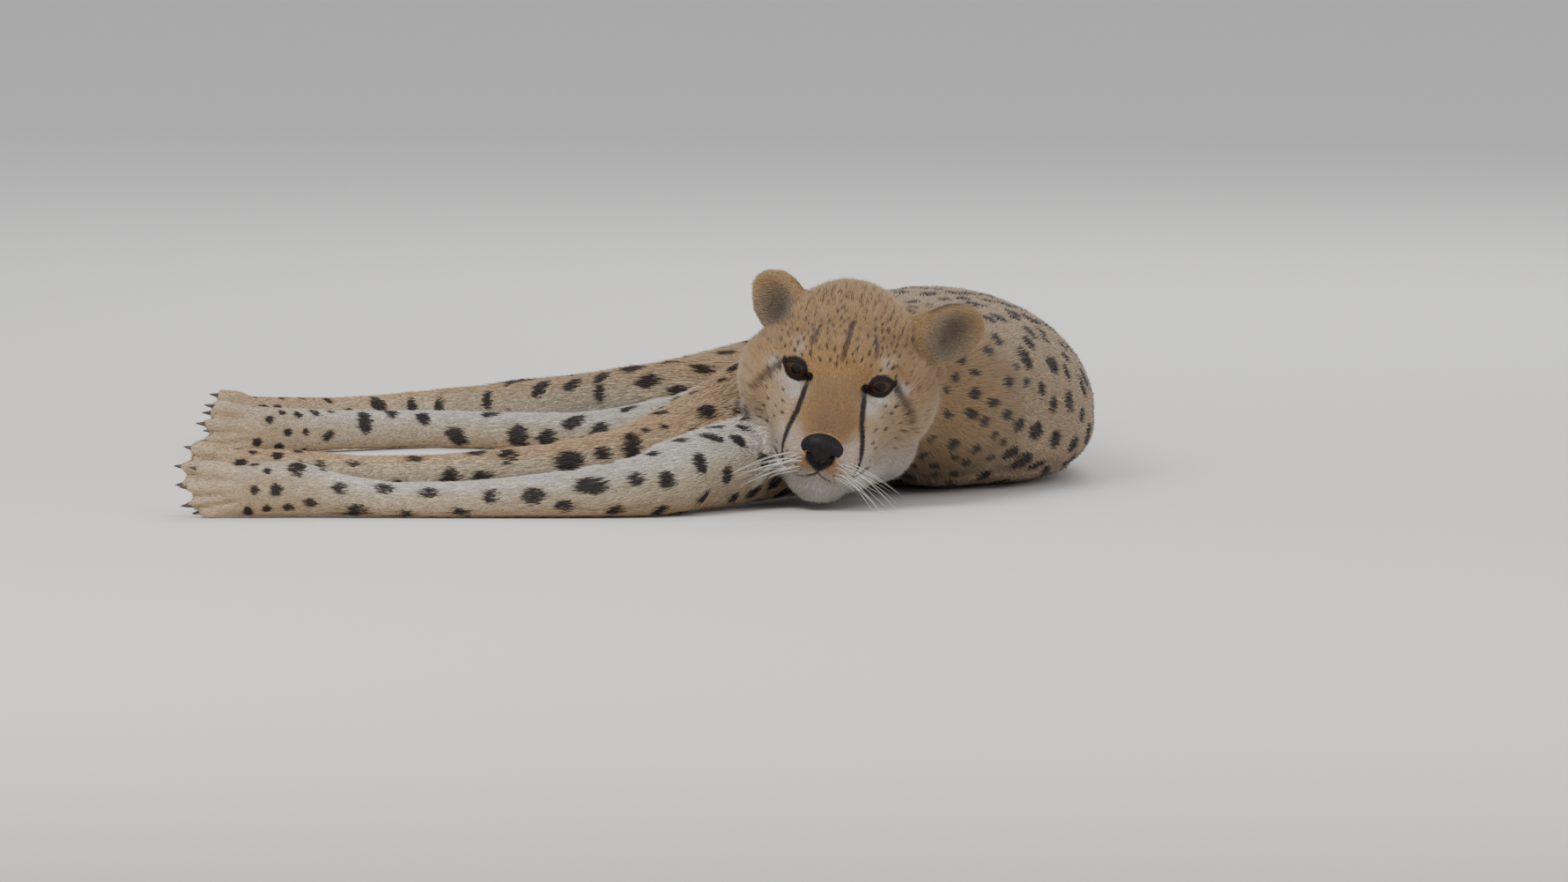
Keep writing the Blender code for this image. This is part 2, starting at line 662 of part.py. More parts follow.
def name_parts(body, seeds):
    """Turn the loose parts of a body into nodes, each by the one point that it holds."""
    found = {}
    for piece in loose_parts(body):
        tree = BVHTree.FromBMesh(piece)
        names = [name for name, point in seeds.items() if holds(tree, point)]
        if len(names) == 1:
            found[names[0]] = add_object(names[0], piece)
        else:
            piece.free()
    bpy.data.objects.remove(body, do_unlink=True)
    return found


def add_claws(found):
    """Join four claws to each paw."""
    for node, limb in PAWS.items():
        for middle, heading in toe_frames(limb):
            boolean(found[node], make_claw(middle, heading), "UNION")


def make_eyes(frame):
    """The two eyeballs, loose in their sockets."""
    for side, name in ((1, "eye_left"), (-1, "eye_right")):
        bm = bmesh.new()
        place = frame @ Vector((side * EYE_LATERAL, EYE_FORWARD, EYE_UP))
        bmesh.ops.create_icosphere(bm, subdivisions=2, radius=EYE_RADIUS,
                                   matrix=Matrix.Translation(place))
        eye = add_object(name, bm)
        eye.data.shade_smooth()
        dress(eye, EYE_COLOUR, 0.08)


def centre_model():
    """Move everything so that the origin is under the middle of the model's box."""
    objects = bpy.context.scene.objects
    points = [vertex.co for obj in objects for vertex in obj.data.vertices]
    low = [min(p[i] for p in points) for i in range(3)]
    high = [max(p[i] for p in points) for i in range(3)]
    shift = Vector((-(low[0] + high[0]) / 2, -(low[1] + high[1]) / 2, -low[2]))
    for obj in objects:
        obj.data.transform(Matrix.Translation(shift))


def main():
    """Model the animal, part it and dress the parts."""
    clear_scene()
    frame = head_frame()
    seeds = {name: Vector(point) for name, (point, _) in NODES.items()}
    for name, (base, tip, facing, _) in EARS.items():
        back = ear_matrix(base, tip, facing).col[1].xyz
        seeds[name] = (Vector(base) + Vector(tip)) / 2 + back * EAR_BACK
    trunk = fuse_trunk()
    head = duplicate(trunk, "head_half")
    thin_out(trunk, TRUNK_FACES)
    thin_out(head, HEAD_FACES)
    middle, normal = HEAD_CUT
    cut_away(trunk, middle, -Vector(normal))
    cut_away(head, middle, Vector(normal))
    found = {}
    for name in EARS:
        ear = fuse_ear(name, head)
        carve(ear, trunk)
        found.update(name_parts(ear, seeds))
    legs = {}
    for name in LEGS:
        legs[name] = fuse_leg(name)
        thin_out(legs[name], LIMB_FACES)
    uncut = {name: duplicate(leg, name + "_uncut") for name, leg in legs.items()}
    for name, (_, _, under) in LEGS.items():
        for other in (*(uncut[lower] for lower in under), head, trunk):
            carve(legs[name], other)
    for body in uncut.values():
        bpy.data.objects.remove(body, do_unlink=True)
    found["nose"] = make_nose(frame)
    carve(head, found["nose"])
    open_sockets(head, frame)
    found.update(name_parts(head, seeds))
    for cut in TRUNK_CUTS:
        boolean(trunk, slab(*cut), "DIFFERENCE")
    found.update(name_parts(trunk, seeds))
    for name, leg in legs.items():
        for cut in LIMB_CUTS[name]:
            boolean(leg, slab(*cut), "DIFFERENCE")
        found.update(name_parts(leg, seeds))
    add_claws(found)
    for name, (_, colour) in NODES.items():
        dress(found[name], colour, 0.9)
    for name in EARS:
        dress(found[name], TAN, 0.9)
    dress(found["nose"], NOSE_COLOUR, 0.45)
    make_eyes(frame)
    centre_model()


main()
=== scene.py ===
"""A cheetah lying on its left side, legs stretched out, its chin on the ground.

One skin covers the animal. A coat of fine tufts grows from it along the lie of the hair,
and skin and coat carry the same markings. Eyes, lids, nose, claws and whiskers are pieces
of their own. Sizes are in metres, +Z is up, and the face looks along -Y.
"""

from __future__ import annotations

import logging
import math
from dataclasses import dataclass, field
from enum import Enum

import bmesh
import bpy
import numpy as np
from mathutils import Matrix, Vector
from mathutils.bvhtree import BVHTree
from mathutils.kdtree import KDTree


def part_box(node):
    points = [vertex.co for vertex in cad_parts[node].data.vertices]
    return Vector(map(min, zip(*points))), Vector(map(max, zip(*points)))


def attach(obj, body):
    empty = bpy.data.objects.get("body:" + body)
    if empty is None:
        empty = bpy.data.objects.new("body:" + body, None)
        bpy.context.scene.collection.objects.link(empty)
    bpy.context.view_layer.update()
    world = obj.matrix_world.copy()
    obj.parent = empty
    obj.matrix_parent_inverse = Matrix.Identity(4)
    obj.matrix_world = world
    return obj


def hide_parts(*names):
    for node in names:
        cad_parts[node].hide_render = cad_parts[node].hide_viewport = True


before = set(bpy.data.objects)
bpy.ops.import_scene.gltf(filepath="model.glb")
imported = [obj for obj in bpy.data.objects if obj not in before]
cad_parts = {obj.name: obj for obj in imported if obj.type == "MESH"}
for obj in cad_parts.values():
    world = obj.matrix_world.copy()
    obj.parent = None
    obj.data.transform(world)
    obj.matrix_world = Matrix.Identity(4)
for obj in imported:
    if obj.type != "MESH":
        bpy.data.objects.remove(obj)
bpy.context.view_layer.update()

LOG = logging.getLogger("cheetah")
Colour = tuple[float, float, float]
Point = tuple[float, float, float]
Rows = np.ndarray
BMesh = bmesh.types.BMesh
Material = bpy.types.Material
Mesh = bpy.types.Mesh
Node = bpy.types.Node
Object = bpy.types.Object
Socket = bpy.types.NodeSocket


class Part(Enum):
    """Regions that have their own lie of hair, length and markings."""

    HEAD = 0
    NECK = 1
    TRUNK = 2
    TAIL = 3
    FORELEG_RIGHT = 4
    FORELEG_LEFT = 5
    HINDLEG_RIGHT = 6
    HINDLEG_LEFT = 7
    EAR = 8


LEGS = (Part.FORELEG_RIGHT, Part.FORELEG_LEFT, Part.HINDLEG_RIGHT, Part.HINDLEG_LEFT)
FORELEG = ("upper_arm", "forearm", "forepaw")
HINDLEG = ("thigh", "shank", "hind_foot")
TAIL = ("tail_root", "tail_middle", "tail_end")
FLESH = (
    "head", "neck", "chest", "belly", "hips", *TAIL,
    *(f"{bone}_{side}" for bone in (*FORELEG, *HINDLEG, "ear") for side in ("right", "left")),
)
NODES = {
    Part.HEAD: ("head",), Part.NECK: ("neck",), Part.TRUNK: ("chest", "belly", "hips"),
    Part.TAIL: TAIL, Part.EAR: ("ear_right", "ear_left"),
    Part.FORELEG_RIGHT: tuple(f"{bone}_right" for bone in FORELEG),
    Part.FORELEG_LEFT: tuple(f"{bone}_left" for bone in FORELEG),
    Part.HINDLEG_RIGHT: tuple(f"{bone}_right" for bone in HINDLEG),
    Part.HINDLEG_LEFT: tuple(f"{bone}_left" for bone in HINDLEG),
}
PART_OF_NODE = {node: part for part, nodes in NODES.items() for node in nodes}

# Of each ear: where its cup opens to, and which way its tip points.
EAR_CUPS = (
    ("ear_right", (-0.62, -0.75, 0.15), (-0.45, 0.0, 0.89)),
    ("ear_left", (0.20, -0.90, -0.35), (0.95, 0.0, 0.31)),
)


# The cells of a grid round one of them, and that cell itself.
NEIGHBOURS = tuple((i, j, k) for i in (-1, 0, 1) for j in (-1, 0, 1) for k in (-1, 0, 1))


# ------------------------------------------------------------------ small helpers

def smooth_step(low: float, high: float, value: Rows) -> Rows:
    """Rise smoothly from 0 at low to 1 at high."""
    t = np.clip((value - low) / (high - low), 0.0, 1.0)
    return t * t * (3.0 - 2.0 * t)


def bell(distance: Rows, width: float) -> Rows:
    """Fall smoothly from 1 at no distance to nearly 0 at twice the width."""
    return np.exp(-((distance / width) ** 2))


def mix(a: Rows | Colour, b: Rows | Colour, share: Rows) -> Rows:
    """Blend a towards b by a share for each row. Either may be one colour or rows of them."""
    a, b = np.asarray(a), np.asarray(b)
    return a + (b - a) * share[:, None]


def unit(rows: Rows | Point) -> Rows:
    """Scale a direction, or each row of them, to length one."""
    rows = np.asarray(rows)
    return rows / np.maximum(np.linalg.norm(rows, axis=-1, keepdims=True), 1e-9)


def fold(rows: Rows) -> Rows:
    """Lay one half of the head over the other."""
    return np.column_stack([np.abs(rows[:, 0]), rows[:, 1:]])


def middle_of(node: str) -> Vector:
    """Middle of the box round one piece of the model."""
    return sum(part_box(node), Vector()) / 2


def read(items: bpy.types.bpy_prop_collection, key: str, width: int,
         kind: type = np.float32) -> Rows:
    """One value of each item of a collection, as rows."""
    rows = np.zeros(len(items) * width, kind)
    items.foreach_get(key, rows)
    return rows.reshape(-1, width)


def points_of(mesh: Mesh) -> Rows:
    """Corners of a mesh as rows."""
    return read(mesh.vertices, "co", 3).astype(float)


def normals_of(mesh: Mesh) -> Rows:
    """Directions in which the corners of a mesh face, as rows."""
    return read(mesh.vertex_normals, "vector", 3).astype(float)


def edges_of(mesh: Mesh) -> Rows:
    """Pairs of corners that an edge joins."""
    return read(mesh.edges, "vertices", 2, np.int32)


def triangles_of(mesh: Mesh) -> Rows:
    """Corners of each face of a mesh of triangles."""
    return read(mesh.polygons, "vertices", 3, np.int32)


def move_points(mesh: Mesh, rows: Rows) -> None:
    """Write the corners of a mesh."""
    mesh.vertices.foreach_set("co", rows.astype(np.float32).ravel())
    mesh.update()


def spread(rows: Rows, pairs: Rows, rounds: int) -> Rows:
    """Even out values along the edges of a mesh.

    Args:
        rows: One row of values for each corner.
        pairs: The edges of the mesh.
        rounds: How often each corner takes the mean of itself and its neighbours.

    Returns:
        The evened values.
    """
    count = len(rows)
    rows = rows.reshape(count, -1)
    number = 1.0 + np.bincount(pairs.ravel(), minlength=count)
    for _ in range(rounds):
        total = np.empty_like(rows)
        for k, values in enumerate(rows.T):
            total[:, k] = (
                values
                + np.bincount(pairs[:, 0], values[pairs[:, 1]], count)
                + np.bincount(pairs[:, 1], values[pairs[:, 0]], count)
            )
        rows = total / number[:, None]
    return rows


FIELDS = {"FLOAT": "value", "INT": "value", "FLOAT_VECTOR": "vector", "FLOAT_COLOR": "color"}


def put(mesh: Mesh, name: str, kind: str, rows: Rows) -> None:
    """Store values on the corners of a mesh under a name."""
    drop(mesh, name)
    layer = mesh.attributes.new(name, kind, "POINT")
    dtype = np.int32 if kind == "INT" else np.float32
    layer.data.foreach_set(FIELDS[kind], np.ascontiguousarray(rows, dtype).ravel())


def drop(mesh: Mesh, name: str) -> None:
    """Remove the values that are stored under a name, if there are any."""
    layer = mesh.attributes.get(name)
    if layer is not None:
        mesh.attributes.remove(layer)


def take(mesh: Mesh, name: str, width: int = 1) -> Rows:
    """Read the values that are stored on the corners of a mesh."""
    layer = mesh.attributes[name]
    return read(layer.data, FIELDS[layer.data_type], width).astype(float)


def labels(mesh: Mesh, name: str) -> Rows:
    """Read the whole numbers that are stored on the corners of a mesh."""
    return take(mesh, name)[:, 0].astype(int)


def to_colour(rows: Rows) -> Rows:
    """Add a full alpha to rows of colour."""
    return np.hstack([np.clip(rows, 0.0, 1.0), np.ones((len(rows), 1))])


def add_object(name: str, data: bpy.types.ID) -> Object:
    """Put a mesh, a light or a camera into the scene."""
    obj = bpy.data.objects.new(name, data)
    bpy.context.scene.collection.objects.link(obj)
    return obj


def from_bmesh(name: str, bm: BMesh) -> Object:
    """Put a bmesh into the scene and free it."""
    mesh = bpy.data.meshes.new(name)
    write_back(bm, mesh)
    return add_object(name, mesh)


def to_bmesh(mesh: Mesh) -> BMesh:
    """Open a mesh for editing."""
    bm = bmesh.new()
    bm.from_mesh(mesh)
    bm.verts.ensure_lookup_table()
    bm.faces.ensure_lookup_table()
    return bm


def write_back(bm: BMesh, mesh: Mesh) -> None:
    """Write a bmesh to a mesh and free it."""
    bm.to_mesh(mesh)
    bm.free()


def settle(obj: Object) -> None:
    """Replace an object's mesh by what its modifiers make of it."""
    graph = bpy.context.evaluated_depsgraph_get()
    graph.update()
    mesh = bpy.data.meshes.new_from_object(obj.evaluated_get(graph))
    obj.modifiers.clear()
    old = obj.data
    obj.data = mesh
    bpy.data.meshes.remove(old)


def finished(obj: Object, finish: Material) -> Object:
    """Turn a closed piece's faces outwards, smooth it and give it its material."""
    bm = to_bmesh(obj.data)
    bmesh.ops.recalc_face_normals(bm, faces=bm.faces[:])
    write_back(bm, obj.data)
    obj.data.shade_smooth()
    obj.data.materials.append(finish)
    return obj


def tree_of(rows: Rows) -> KDTree:
    """Index points so that the nearest is found quickly."""
    tree = KDTree(len(rows))
    for k, row in enumerate(rows):
        tree.insert(row, k)
    tree.balance()
    return tree


def along_path(rows: Rows, path: Rows) -> tuple[Rows, Rows]:
    """Distance of each row from a path of straight runs, and how far along it is nearest.

    Args:
        rows: Points, in as many dimensions as the path.
        path: The path's corners.

    Returns:
        Distances, and places along the path from 0 to 1.
    """
    path = np.asarray(path)
    best = np.full(len(rows), 1e9)
    place = np.zeros(len(rows))
    runs = len(path) - 1
    for k in range(runs):
        run = path[k + 1] - path[k]
        t = np.clip((rows - path[k]) @ run / (run @ run), 0.0, 1.0)
        distance = np.linalg.norm(rows - path[k] - t[:, None] * run, axis=1)
        closer = distance < best
        best[closer] = distance[closer]
        place[closer] = (k + t[closer]) / runs
    return best, place


# ------------------------------------------------------------------ finishes

@dataclass
class Graph:
    """A tree of nodes, each added together with its values and links."""

    tree: bpy.types.NodeTree

    def fill(self, node: Node, inputs: dict[str | int, object]) -> None:
        """Give each input, by name or number, a value or a link to another node's output."""
        for key, value in inputs.items():
            if isinstance(value, Socket):
                self.tree.links.new(value, node.inputs[key])
            else:
                node.inputs[key].default_value = value

    def add(self, kind: str, inputs: dict[str | int, object], out: str | int = 0,
            **settings: object) -> Socket:
        """Add a node.

        Args:
            kind: The node's type.
            inputs: The value or link of each input, by name or number.
            out: The output to hand back.
            settings: The node's own settings.

        Returns:
            The output.
        """
        node = self.tree.nodes.new(kind)
        for key, value in settings.items():
            setattr(node, key, value)
        self.fill(node, inputs)
        return node.outputs[out]

    def stored(self, name: str, out: str) -> Socket:
        """Read values that are stored on the mesh."""
        return self.add("ShaderNodeAttribute", {}, out, attribute_name=name)

    def place(self) -> Socket:
        """Read the place on the object."""
        return self.add("ShaderNodeTexCoord", {}, "Object")

    def noise(self, scale: float) -> Socket:
        """Add a noise that is fixed to the object."""
        return self.add("ShaderNodeTexNoise",
                        {"Scale": scale, "Detail": 3.0, "Vector": self.place()}, "Fac")

    def between(self, value: Socket, low: float, high: float) -> Socket:
        """Stretch values from 0 to 1 between two others."""
        return self.add("ShaderNodeMapRange", {"Value": value, "To Min": low, "To Max": high},
                        "Result")

    def times(self, a: Socket, b: Socket) -> Socket:
        """Multiply two values."""
        return self.add("ShaderNodeMath", {0: a, 1: b}, operation="MULTIPLY")

    def vector(self, operation: str, inputs: dict[str | int, object],
               out: str = "Vector") -> Socket:
        """Calculate with vectors."""
        return self.add("ShaderNodeVectorMath", inputs, out, operation=operation)

    def ramp(self, value: Socket, stops: tuple[tuple[float, Colour], ...]) -> Socket:
        """Turn values into colours, by the colours at some of them."""
        colour = self.add("ShaderNodeValToRGB", {"Fac": value}, "Color")
        line = colour.node.color_ramp
        while len(line.elements) < len(stops):
            line.elements.new(0.5)
        for element, (place, shade) in zip(line.elements, stops):
            element.position = place
            element.color = (*shade, 1.0)
        return colour

    def bump(self, height: Socket, strength: float, depth: float, **settings: object) -> Socket:
        """Raise the surface in small relief."""
        return self.add("ShaderNodeBump",
                        {"Strength": strength, "Distance": depth, "Height": height},
                        "Normal", **settings)


def new_material(name: str) -> tuple[Material, Graph, Node]:
    """Start a material.

    Args:
        name: The material's name.

    Returns:
        The material, its graph and its main shader.
    """
    material = bpy.data.materials.new(name)
    material.use_nodes = True
    return material, Graph(material.node_tree), material.node_tree.nodes["Principled BSDF"]


@dataclass(frozen=True)
class Coat:
    """Hair: a tint stored on the mesh with painted shade that darkens it towards the root and
    painted light that lifts it a little at the tip, and a fine grain.
    """

    name: str
    roughness: float = 0.82
    sheen: float = 0.12
    root_painted_shade: float = 0.55
    tip_painted_light: float = 1.08
    grain: float = 0.25
    grain_scale: float = 900.0

    def build(self) -> Material:
        """Make the material."""
        material, graph, shader = new_material(self.name)
        # Painted shade among the hairs: the tint is darkened at each tuft's root and lifted a
        # little as painted light at its tip.
        rise = graph.between(graph.stored("rise", "Fac"), self.root_painted_shade, self.tip_painted_light)
        grain = graph.between(graph.noise(self.grain_scale), 1.0 - self.grain, 1.0 + self.grain)
        graph.fill(shader, {
            "Roughness": self.roughness, "Sheen Weight": self.sheen, "Sheen Roughness": 0.5,
            "Specular IOR Level": 0.25,
            "Base Color": graph.vector("SCALE", {0: graph.stored("Tint", "Color"),
                                                 "Scale": graph.times(rise, grain)}),
        })
        return material


@dataclass(frozen=True)
class Hide:
    """Skin under the coat: the stored tint, a mottled shade and a bump of short hair."""

    name: str
    roughness: float = 0.85
    shade: float = 0.80
    mottle: float = 0.25
    grain_scale: float = 650.0
    bump: float = 0.6
    bump_depth: float = 0.0012

    def build(self) -> Material:
        """Make the material."""
        material, graph, shader = new_material(self.name)
        grain = graph.noise(self.grain_scale)
        shade = graph.between(grain, self.shade - self.mottle, self.shade + self.mottle)
        graph.fill(shader, {
            "Roughness": self.roughness, "Specular IOR Level": 0.3,
            "Base Color": graph.vector("SCALE", {0: graph.stored("Tint", "Color"),
                                                 "Scale": shade}),
            "Normal": graph.bump(grain, self.bump, self.bump_depth),
        })
        return material


@dataclass(frozen=True)
class Leather:
    """Bare skin of the nose and the lids, or horn: one colour with a pebbled bump."""

    name: str
    colour: Colour
    second: Colour
    roughness: float = 0.38
    cell_scale: float = 900.0
    bump: float = 0.5
    bump_depth: float = 0.0004
    coat: float = 0.2
    gloss: float = 0.5

    def build(self) -> Material:
        """Make the material."""
        material, graph, shader = new_material(self.name)
        cloud = graph.noise(self.cell_scale * 0.2)
        cells = graph.add("ShaderNodeTexVoronoi",
                          {"Scale": self.cell_scale, "Vector": graph.place()}, "Distance")
        graph.fill(shader, {
            "Coat Weight": self.coat, "Specular IOR Level": self.gloss, "Coat Roughness": 0.25,
            "Roughness": self.roughness,
            "Base Color": graph.ramp(cloud, ((0.35, self.colour), (0.70, self.second))),
            "Normal": graph.bump(cells, self.bump, self.bump_depth, invert=True),
        })
        return material


@dataclass(frozen=True)
class WetEye:
    """Eye: pupil, fibrous iris and dark surround under a clear wet coat.

    The attribute gaze holds each point's place in the eye's own frame, in radii, with
    the pupil at +Z.
    """

    name: str
    pupil: float = 0.27
    iris: float = 0.80
    hole: Colour = (0.002, 0.002, 0.002)
    # The iris is amber-brown, darkened further as painted shade from the brow over the eye.
    inner: Colour = (0.046, 0.018, 0.007)
    outer: Colour = (0.014, 0.006, 0.003)
    white: Colour = (0.012, 0.008, 0.007)

    def build(self) -> Material:
        """Make the material."""
        material, graph, shader = new_material(self.name)
        split = graph.add("ShaderNodeSeparateXYZ", {"Vector": graph.stored("gaze", "Vector")})
        flat = graph.add("ShaderNodeCombineXYZ", {axis: split.node.outputs[axis] for axis in "XY"})
        rays = graph.vector("NORMALIZE", {0: flat})
        fibre = graph.add("ShaderNodeTexNoise", {"Scale": 9.0, "Detail": 4.0, "Vector": rays},
                          "Fac")
        wobble = graph.add("ShaderNodeMath",
                           {0: fibre, 1: 0.10, 2: graph.vector("LENGTH", {0: flat}, "Value")},
                           operation="MULTIPLY_ADD")
        graph.fill(shader, {
            "Roughness": 0.6, "Specular IOR Level": 0.0, "Coat Weight": 1.0,
            "Coat IOR": 1.36, "Coat Roughness": 0.03,
            "Base Color": graph.ramp(wobble, (
                (0.0, self.hole), (self.pupil + 0.05, self.hole), (self.pupil + 0.09, self.inner),
                (self.iris - 0.08, self.outer), (self.iris + 0.06, self.white),
            )),
        })
        return material


SKIN_FINISH = Hide("skin_hide")
FUR_FINISH = Coat("fur")
NOSE_FINISH = Leather("nose_leather", (0.005, 0.004, 0.005), (0.014, 0.011, 0.012),
                      roughness=0.50, bump=0.8, coat=0.05, gloss=0.2)
LID_FINISH = Leather("lid_margin", (0.004, 0.003, 0.003), (0.009, 0.006, 0.006),
                     roughness=0.55, coat=0.0, gloss=0.3)
CLAW_FINISH = Leather("claw_horn", (0.030, 0.023, 0.019), (0.085, 0.064, 0.048),
                      roughness=0.4, cell_scale=600.0, bump=0.15)
WHISKER_FINISH = Leather("whisker", (0.80, 0.77, 0.70), (0.88, 0.86, 0.80),
                         roughness=0.4, bump=0.0, coat=0.0)
EYE_FINISH = WetEye("wet_eye")


# ------------------------------------------------------------------ the animal's layout

@dataclass
class HeadFrame:
    """The head's own frame: lateral (the animal's left), forward and up."""

    pitch: float = 22.0
    roll: float = 12.0
    yaw: float = 2.5
    eye: Point = (0.0345, -0.0065, -0.0010)
    matrix: Matrix = field(init=False)

    def __post_init__(self) -> None:
        """Place the frame by the eyeballs of the model."""
        turn = (Matrix.Rotation(-math.radians(self.yaw), 3, "Z")
                @ Matrix.Rotation(math.radians(self.roll), 3, "Y")
                @ Matrix.Rotation(math.radians(self.pitch), 3, "X"))
        axes = turn @ Matrix(((1, 0, 0), (0, -1, 0), (0, 0, 1)))
        middle = (middle_of("eye_left") + middle_of("eye_right")) / 2
        start = middle - axes @ Vector((0.0, self.eye[1], self.eye[2]))
        self.matrix = Matrix.Translation(start) @ axes.to_4x4()

    def inward(self, rows: Rows) -> Rows:
        """Turn rows of the model's frame into the head's frame."""
        inverse = np.array(self.matrix.inverted())
        return rows @ inverse[:3, :3].T + inverse[:3, 3]

    def outward(self, rows: Rows) -> Rows:
        """Turn rows of the head's frame into the model's frame."""
        return self.direction(rows) + np.array(self.matrix)[:3, 3]

    def direction(self, rows: Rows) -> Rows:
        """Turn directions of the head's frame into the model's frame."""
        return rows @ np.array(self.matrix)[:3, :3].T


SPINE = (
    (0.022, 0.205, 0.110), (0.060, 0.300, 0.095), (0.084, 0.470, 0.080),
    (0.091, 0.660, 0.076), (0.106, 0.850, 0.061), (0.096, 1.010, 0.061),
    (0.088, 1.150, 0.062),
)
# Centre lines of the body's parts, along which the hair lies.
LINES = {
    Part.NECK: SPINE,
    Part.TRUNK: SPINE,
    Part.TAIL: (
        (0.098, 1.170, 0.058), (0.112, 1.222, 0.044), (0.120, 1.280, 0.030),
        (0.106, 1.335, 0.023), (0.056, 1.382, 0.021), (-0.022, 1.388, 0.020),
        (-0.098, 1.356, 0.019), (-0.164, 1.304, 0.020), (-0.228, 1.246, 0.021),
        (-0.290, 1.190, 0.020), (-0.350, 1.137, 0.017),
    ),
    Part.FORELEG_RIGHT: (
        (0.020, 0.385, 0.100), (-0.060, 0.280, 0.084), (-0.156, 0.168, 0.049),
        (-0.232, 0.128, 0.039), (-0.310, 0.114, 0.034), (-0.420, 0.105, 0.034),
        (-0.545, 0.102, 0.037),
    ),
    Part.FORELEG_LEFT: (
        (0.020, 0.345, 0.058), (-0.062, 0.202, 0.040), (-0.138, 0.072, 0.031),
        (-0.210, 0.048, 0.021), (-0.290, 0.046, 0.017), (-0.410, 0.050, 0.019),
        (-0.540, 0.043, 0.020),
    ),
    Part.HINDLEG_RIGHT: (
        (0.078, 1.085, 0.078), (-0.030, 0.985, 0.064), (-0.140, 0.892, 0.050),
        (-0.168, 0.905, 0.048), (-0.224, 0.950, 0.042), (-0.336, 1.046, 0.029),
        (-0.365, 1.045, 0.026), (-0.465, 0.962, 0.023), (-0.545, 0.905, 0.022),
    ),
    Part.HINDLEG_LEFT: (
        (0.066, 1.060, 0.048), (-0.030, 0.925, 0.038), (-0.108, 0.815, 0.029),
        (-0.138, 0.812, 0.025), (-0.200, 0.832, 0.018), (-0.330, 0.888, 0.017),
        (-0.360, 0.886, 0.017), (-0.462, 0.820, 0.020), (-0.545, 0.770, 0.021),
    ),
}
# Of each paw: a place behind the toes, and the toes' own middle.
PAWS = {
    "forepaw_right": ((-0.460, 0.104, 0.0350), (-0.512, 0.102, 0.0330)),
    "forepaw_left": ((-0.446, 0.050, 0.0245), (-0.506, 0.045, 0.0205)),
    "hind_foot_right": ((-0.465, 0.962, 0.0210), (-0.514, 0.924, 0.0215)),
    "hind_foot_left": ((-0.462, 0.820, 0.0200), (-0.514, 0.787, 0.0210)),
}
# From the frame of these lines to the model's origin.
SHIFT = np.array((0.159269, -0.718263, 0.0))


@dataclass
class Layout:
    """Courses of the body's parts and places of the toes, from the model's origin."""

    toe_row: float = 0.0195
    toe_splay: float = 0.18
    toe_floor: float = 0.0095
    toe_reaches: tuple[float, ...] = (0.004, 0.013, 0.014, 0.006)
    paths: dict[Part, Rows] = field(
        default_factory=lambda: {part: np.array(line) + SHIFT for part, line in LINES.items()})

    def place(self, part: Part, rows: Rows) -> Rows:
        """How far along a part's line each row lies, from 0 to 1."""
        return along_path(rows, self.paths[part])[1]

    def toes(self, paw: str) -> list[tuple[Rows, Rows]]:
        """Middle and heading of a paw's four toes, from the lowest to the highest."""
        behind, last = np.array(PAWS[paw]) + SHIFT
        ahead = unit(last - behind)
        up = np.array((0.0, 0.0, 1.0))
        toes = []
        for k, reach in enumerate(self.toe_reaches):
            spread_out = (k - 1.5) / 1.5
            heading = unit(ahead + up * self.toe_splay * spread_out)
            middle = last + up * self.toe_row * spread_out + ahead * reach
            middle[2] = max(middle[2], self.toe_floor)
            toes.append((middle, heading))
        return toes


# ------------------------------------------------------------------ the face

